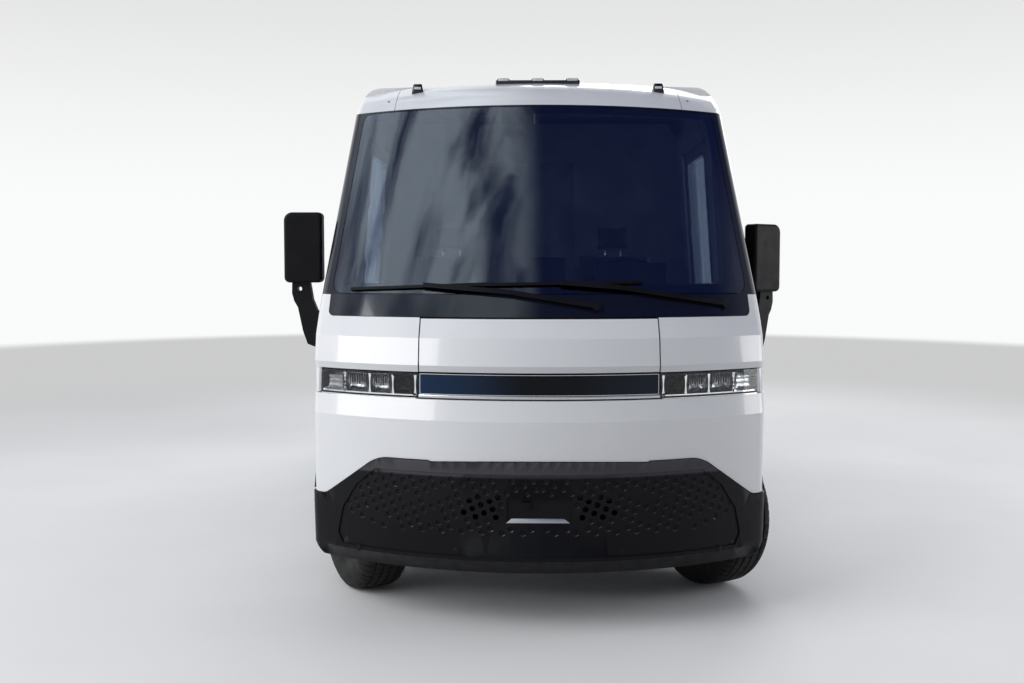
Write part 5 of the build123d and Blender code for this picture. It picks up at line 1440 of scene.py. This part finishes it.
def steeringPad():
    radius, low, high = wheelGrip["hub"]
    deselectAll()
    bpy.ops.mesh.primitive_cylinder_add(
        vertices=64, radius=radius, depth=high - low, location=(0, 0, (low + high) / 2),
    )
    hub = bpy.context.object
    applyPlace(hub)
    for face in hub.data.polygons:
        face.select = face.normal.z > 0.9
    stepFaces(hub, wheelGrip["hubInsets"], (0, 0, 1))
    roundEdges(hub, wheelGrip["hubEdge"], 3, 50)
    return hub


def makeSteeringWheel():
    rim = steeringRim()
    pieces = (
        (rim, "steeringRim", "rimLeather"), (steeringSpokes(), "steeringSpokes", "dashGrey"),
        (steeringPad(), "steeringPad", "rimLeather"),
    )
    for piece, name, finishName in pieces:
        piece.name = name
        piece.rotation_euler = (math.radians(90) + wheelGrip["lean"], 0, math.pi)
        piece.location = wheelGrip["place"]
        settle(piece, "body", "dash_grey", finishName, wheelGrip["smooth"])
    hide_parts("steering_wheel")
    print("steering wheel made")


makeSteeringWheel()

# dashboard dressing: dark glass over the two displays and slatted air vents on the face toward the seats
dashLook = {
    "displays": ((-0.112, 0.142, 1.656, 1.770), (0.325, 0.675, 1.656, 1.738)), "thick": 0.003, "sunk": 0.001,
    "aside": 0.02, "edge": 0.0014,
}
ventLook = {
    "places": ((-0.78, 1.55), (-0.28, 1.55), (0.22, 1.55), (0.78, 1.55)), "wide": 0.055, "tall": 0.034,
    "frame": 0.005, "frameDepth": (-0.004, 0.008), "frameEdge": 0.0015, "slats": 5, "slatHalf": 0.0012,
    "slatDepth": (-0.003, 0.006), "slatIn": 0.004, "slatEdge": 0.0008, "slatTilt": 0.5,
}


# a frame of four bars about a width and a height, with tilted slats across it
def airVent(x, y, z):
    look = ventLook
    wide, tall, frameHalf = look["wide"], look["tall"], look["frame"] / 2
    front, back = (y + reach for reach in look["frameDepth"])
    bars = (
        (x, z + tall - frameHalf, wide, frameHalf), (x, z - tall + frameHalf, wide, frameHalf),
        (x - wide + frameHalf, z, frameHalf, tall), (x + wide - frameHalf, z, frameHalf, tall),
    )
    parts = [blockAbout("ventFrame", *bar, front, back, look["frameEdge"]) for bar in bars]
    front, back = (y + reach for reach in look["slatDepth"])
    for count in range(look["slats"]):
        slatZ = z - tall + look["frame"] + (count + 0.5) * 2 * (tall - look["frame"]) / look["slats"]
        slat = blockAbout(
            "ventSlat", x, slatZ, wide - look["slatIn"], look["slatHalf"], front, back, look["slatEdge"],
        )
        for vertex in slat.data.vertices:
            vertex.co.z += (vertex.co.y - y) * look["slatTilt"]
        parts.append(slat)
    return parts


def makeDashDressing():
    skin = skinOf("dashboard")

    def faceY(x, z):
        return skin.ray_cast(Vector((x, -1.2, z)), Vector((0, -1, 0)))[0].y

    glass, vents = [], []
    for x0, x1, z0, z1 in dashLook["displays"]:
        y = faceY((x0 + x1) / 2 + dashLook["aside"], (z0 + z1) / 2)
        glass.append(roundedBlock(
            "displayGlass", (x0, y - dashLook["sunk"], z0), (x1, y + dashLook["thick"], z1), dashLook["edge"],
        ))
    for x, z in ventLook["places"]:
        vents += airVent(x, faceY(x, z), z)
    settle(joinPieces("displayGlass", glass), "body", "gloss_black", "screenGlass")
    settle(joinPieces("airVents", vents), "body", "dash_grey", "trimBlack")
    print("dashboard dressed")


makeDashDressing()

# cargo body dressing: drip rails, panel joints and side lamps
sideDress = {
    "rail": (-0.95, 2.90, 2.545, 2.557), "railProud": 0.006, "railSunk": 0.0005, "railEdge": 0.0015,
    "joints": (0.62, 1.78), "jointHalf": 0.002, "jointFrom": 0.70, "jointTo": 2.53, "jointThick": 0.0012,
    "offPanel": 1.1,
}
sideLamps = {
    "lampAmber": ("sideLampsAmber", ((-0.62, 0.80), (0.45, 0.80))),
    "lampRed": ("sideLampsRed", ((2.78, 0.80),)), "long": 0.045, "tall": 0.014, "proud": 0.009,
    "bezel": 0.004, "bezelShare": 0.5, "sunk": 0.002, "edge": 0.003,
}


def lookInward(skin, side, y, z):
    return skin.ray_cast(Vector((side * 3, y, z)), Vector((-side, 0, 0)))[:2]


# a strip laid on a cargo side; past the panel's edge it goes on at one fixed width
def sideStrip(skin, side, y0, y1, z0, z1, proud, thick, columns, rows, edge=0.0):
    def spotAt(u, w):
        y, z = y0 + u * (y1 - y0), z0 + w * (z1 - z0)
        spot, normal = lookInward(skin, side, y, z)
        return spot + normal * proud if spot else (side * sideDress["offPanel"], y, z)

    return laidSheet("sideStrip", columns, rows, spotAt, thick, edge)


def sideLamp(skin, side, y, z, grow, out):
    spot = lookInward(skin, side, y, z)[0]
    x0, x1 = sorted((spot.x - side * sideLamps["sunk"], spot.x + side * out))
    long, tall = sideLamps["long"] + grow, sideLamps["tall"] + grow
    return roundedBlock("sideLamp", (x0, y - long, z - tall), (x1, y + long, z + tall), sideLamps["edge"], 3)


def makeSideDress():
    look = sideDress
    proud = look["railProud"]
    skins = {side: skinOf(name) for side, name in ((1, "cargo_side_left"), (-1, "cargo_side_right"))}
    rails = [
        sideStrip(skin, side, *look["rail"], proud / 2 - look["railSunk"], proud, 40, 2, look["railEdge"])
        for side, skin in skins.items()
    ]
    seams = [
        sideStrip(
            skin, side, y - look["jointHalf"], y + look["jointHalf"], look["jointFrom"], look["jointTo"],
            0.0, look["jointThick"], 1, 24,
        )
        for side, skin in skins.items() for y in look["joints"]
    ]
    settle(joinPieces("dripRails", rails), "body", "body_white", "bodyWhite")
    settle(joinPieces("panelJoints", seams), "body", "trim_black", "linerGrey")
    proud, bezels = sideLamps["proud"], []
    for finishName in ("lampAmber", "lampRed"):
        name, places = sideLamps[finishName]
        lamps = []
        for side, skin in skins.items():
            for y, z in places:
                bezels.append(sideLamp(skin, side, y, z, sideLamps["bezel"], proud * sideLamps["bezelShare"]))
                lamps.append(sideLamp(skin, side, y, z, 0.0, proud))
        settle(joinPieces(name, lamps), "body", "lamp_red", finishName)
    settle(joinPieces("sideLampBezels", bezels), "body", "trim_black", "trimBlack")
    print("cargo sides dressed")


makeSideDress()

# rear dressing: lamps over the doors, a camera and ribbed tread on the step
# a bezel and a lamp are half sizes, depths off the frame, edge and steps of rounding
topLamps = {
    "x": (-0.86, -0.16, 0.0, 0.16, 0.86), "z": 2.665, "bezel": ((0.044, 0.018), (-0.002, 0.006), 0.003, 3),
    "lamp": ((0.038, 0.013), (-0.001, 0.012), 0.006, 4),
}
rearCamera = {
    "x": 0.0, "z": 2.585, "half": (0.03, 0.018), "depth": (-0.002, 0.03), "edge": 0.009, "hoodFrom": 0.015,
    "hood": 0.006,
}
stepTread = {
    "ribs": 9, "half": 0.98, "inset": 0.022, "pitch": 0.011, "ribHalf": 0.0028, "sunk": 0.0008, "proud": 0.0022,
    "edge": 0.0012,
}


# a block on the face that a straight look from behind finds
def rearBlock(skin, name, x, z, half, depth, edge, steps):
    y = skin.ray_cast(Vector((x, 6, z)), Vector((0, -1, 0)))[0].y
    return blockAbout(name, x, z, *half, y + depth[0], y + depth[1], edge, steps)


def makeTopLamps(skin):
    look = topLamps
    for name, shape, slotName, finishName in (
        ("topLampBezels", look["bezel"], "trim_black", "trimBlack"),
        ("topLamps", look["lamp"], "lamp_red", "lampRed"),
    ):
        blocks = [rearBlock(skin, name, x, look["z"], *shape) for x in look["x"]]
        settle(joinPieces(name, blocks), "body", slotName, finishName)


def makeRearCamera(skin):
    look = rearCamera
    pod = rearBlock(skin, "rearCamera", look["x"], look["z"], look["half"], look["depth"], look["edge"], 4)
    hoodY = max(vertex.co.y for vertex in pod.data.vertices) - look["depth"][1] + look["hoodFrom"]
    for vertex in pod.data.vertices:
        if vertex.co.y > hoodY and vertex.co.z > look["z"]:
            vertex.co.z -= look["hood"]
    settle(pod, "body", "trim_black", "trimBlack")


def makeStepTread():
    look = stepTread
    low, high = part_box("rear_bumper")
    ribs = []
    for count in range(look["ribs"]):
        y = high.y - look["inset"] - count * look["pitch"]
        ribs.append(roundedBlock(
            "stepRib", (-look["half"], y - look["ribHalf"], high.z - look["sunk"]),
            (look["half"], y + look["ribHalf"], high.z + look["proud"]), look["edge"],
        ))
    settle(joinPieces("stepTread", ribs), "body", "tyre_rubber", "tyreRubber")


def makeRearDress():
    frameSkin = skinOf("rear_frame")
    makeTopLamps(frameSkin)
    makeRearCamera(frameSkin)
    makeStepTread()
    print("rear dressed")


makeRearDress()

# floor: a pale matt surface near the vehicle that keeps its shadow and fades to the backdrop far away
floorLook = {
    "half": 70.0, "under": 0.001, "far": (0.6, 0.602, 0.606), "beyond": (0.955, 0.96, 0.965),
    "bounce": (0.5, 0.5, 0.505), "fade": (3.6, 12.0), "edge": (13.5, 16.5), "centre": (0.0, 10.0, 0.0),
    "paint": {
        "dark": (0.78, 0.783, 0.788), "light": (0.86, 0.862, 0.866), "rough": (0.6, 0.75), "shine": 0.2,
        "mottleScale": 0.35, "grain": ("noise", 40, 0.001, 0.1),
    },
}


def makeFloor():
    look = floorLook
    deselectAll()
    bpy.ops.mesh.primitive_plane_add(size=look["half"] * 2, location=(0, 0, fullBox[0].z - look["under"]))
    floor = bpy.context.object
    floor.name = "studioFloor"
    paint = newFinish("floorPaint", look["paint"])
    tree = paint.node_tree
    place = tree.nodes.new("ShaderNodeTexCoord").outputs["Object"]
    bounced = addNode(tree, "ShaderNodeBsdfDiffuse", {"Color": (*look["bounce"], 1)})
    offCentre = addNode(tree, "ShaderNodeVectorMath", {0: place, 1: look["centre"]}, operation="DISTANCE")
    past = ramped(tree, offCentre.outputs["Value"], *look["edge"])
    farAway = addNode(tree, "ShaderNodeEmission", {"Color": blended(tree, past, look["far"], look["beyond"])})
    away = addNode(tree, "ShaderNodeVectorMath", {0: place}, operation="LENGTH")
    fade = ramped(tree, away.outputs["Value"], *look["fade"])
    shown = eitherShader(tree, fade, tree.nodes["Principled BSDF"].outputs["BSDF"], farAway.outputs["Emission"])
    seen = anyRay(tree, "Is Camera Ray", "Is Transmission Ray", "Is Glossy Ray")
    both = eitherShader(tree, seen, bounced.outputs["BSDF"], shown)
    tree.links.new(both, tree.nodes["Material Output"].inputs["Surface"])
    floor.data.materials.append(paint)
    print("floor laid")


makeFloor()

print("done")
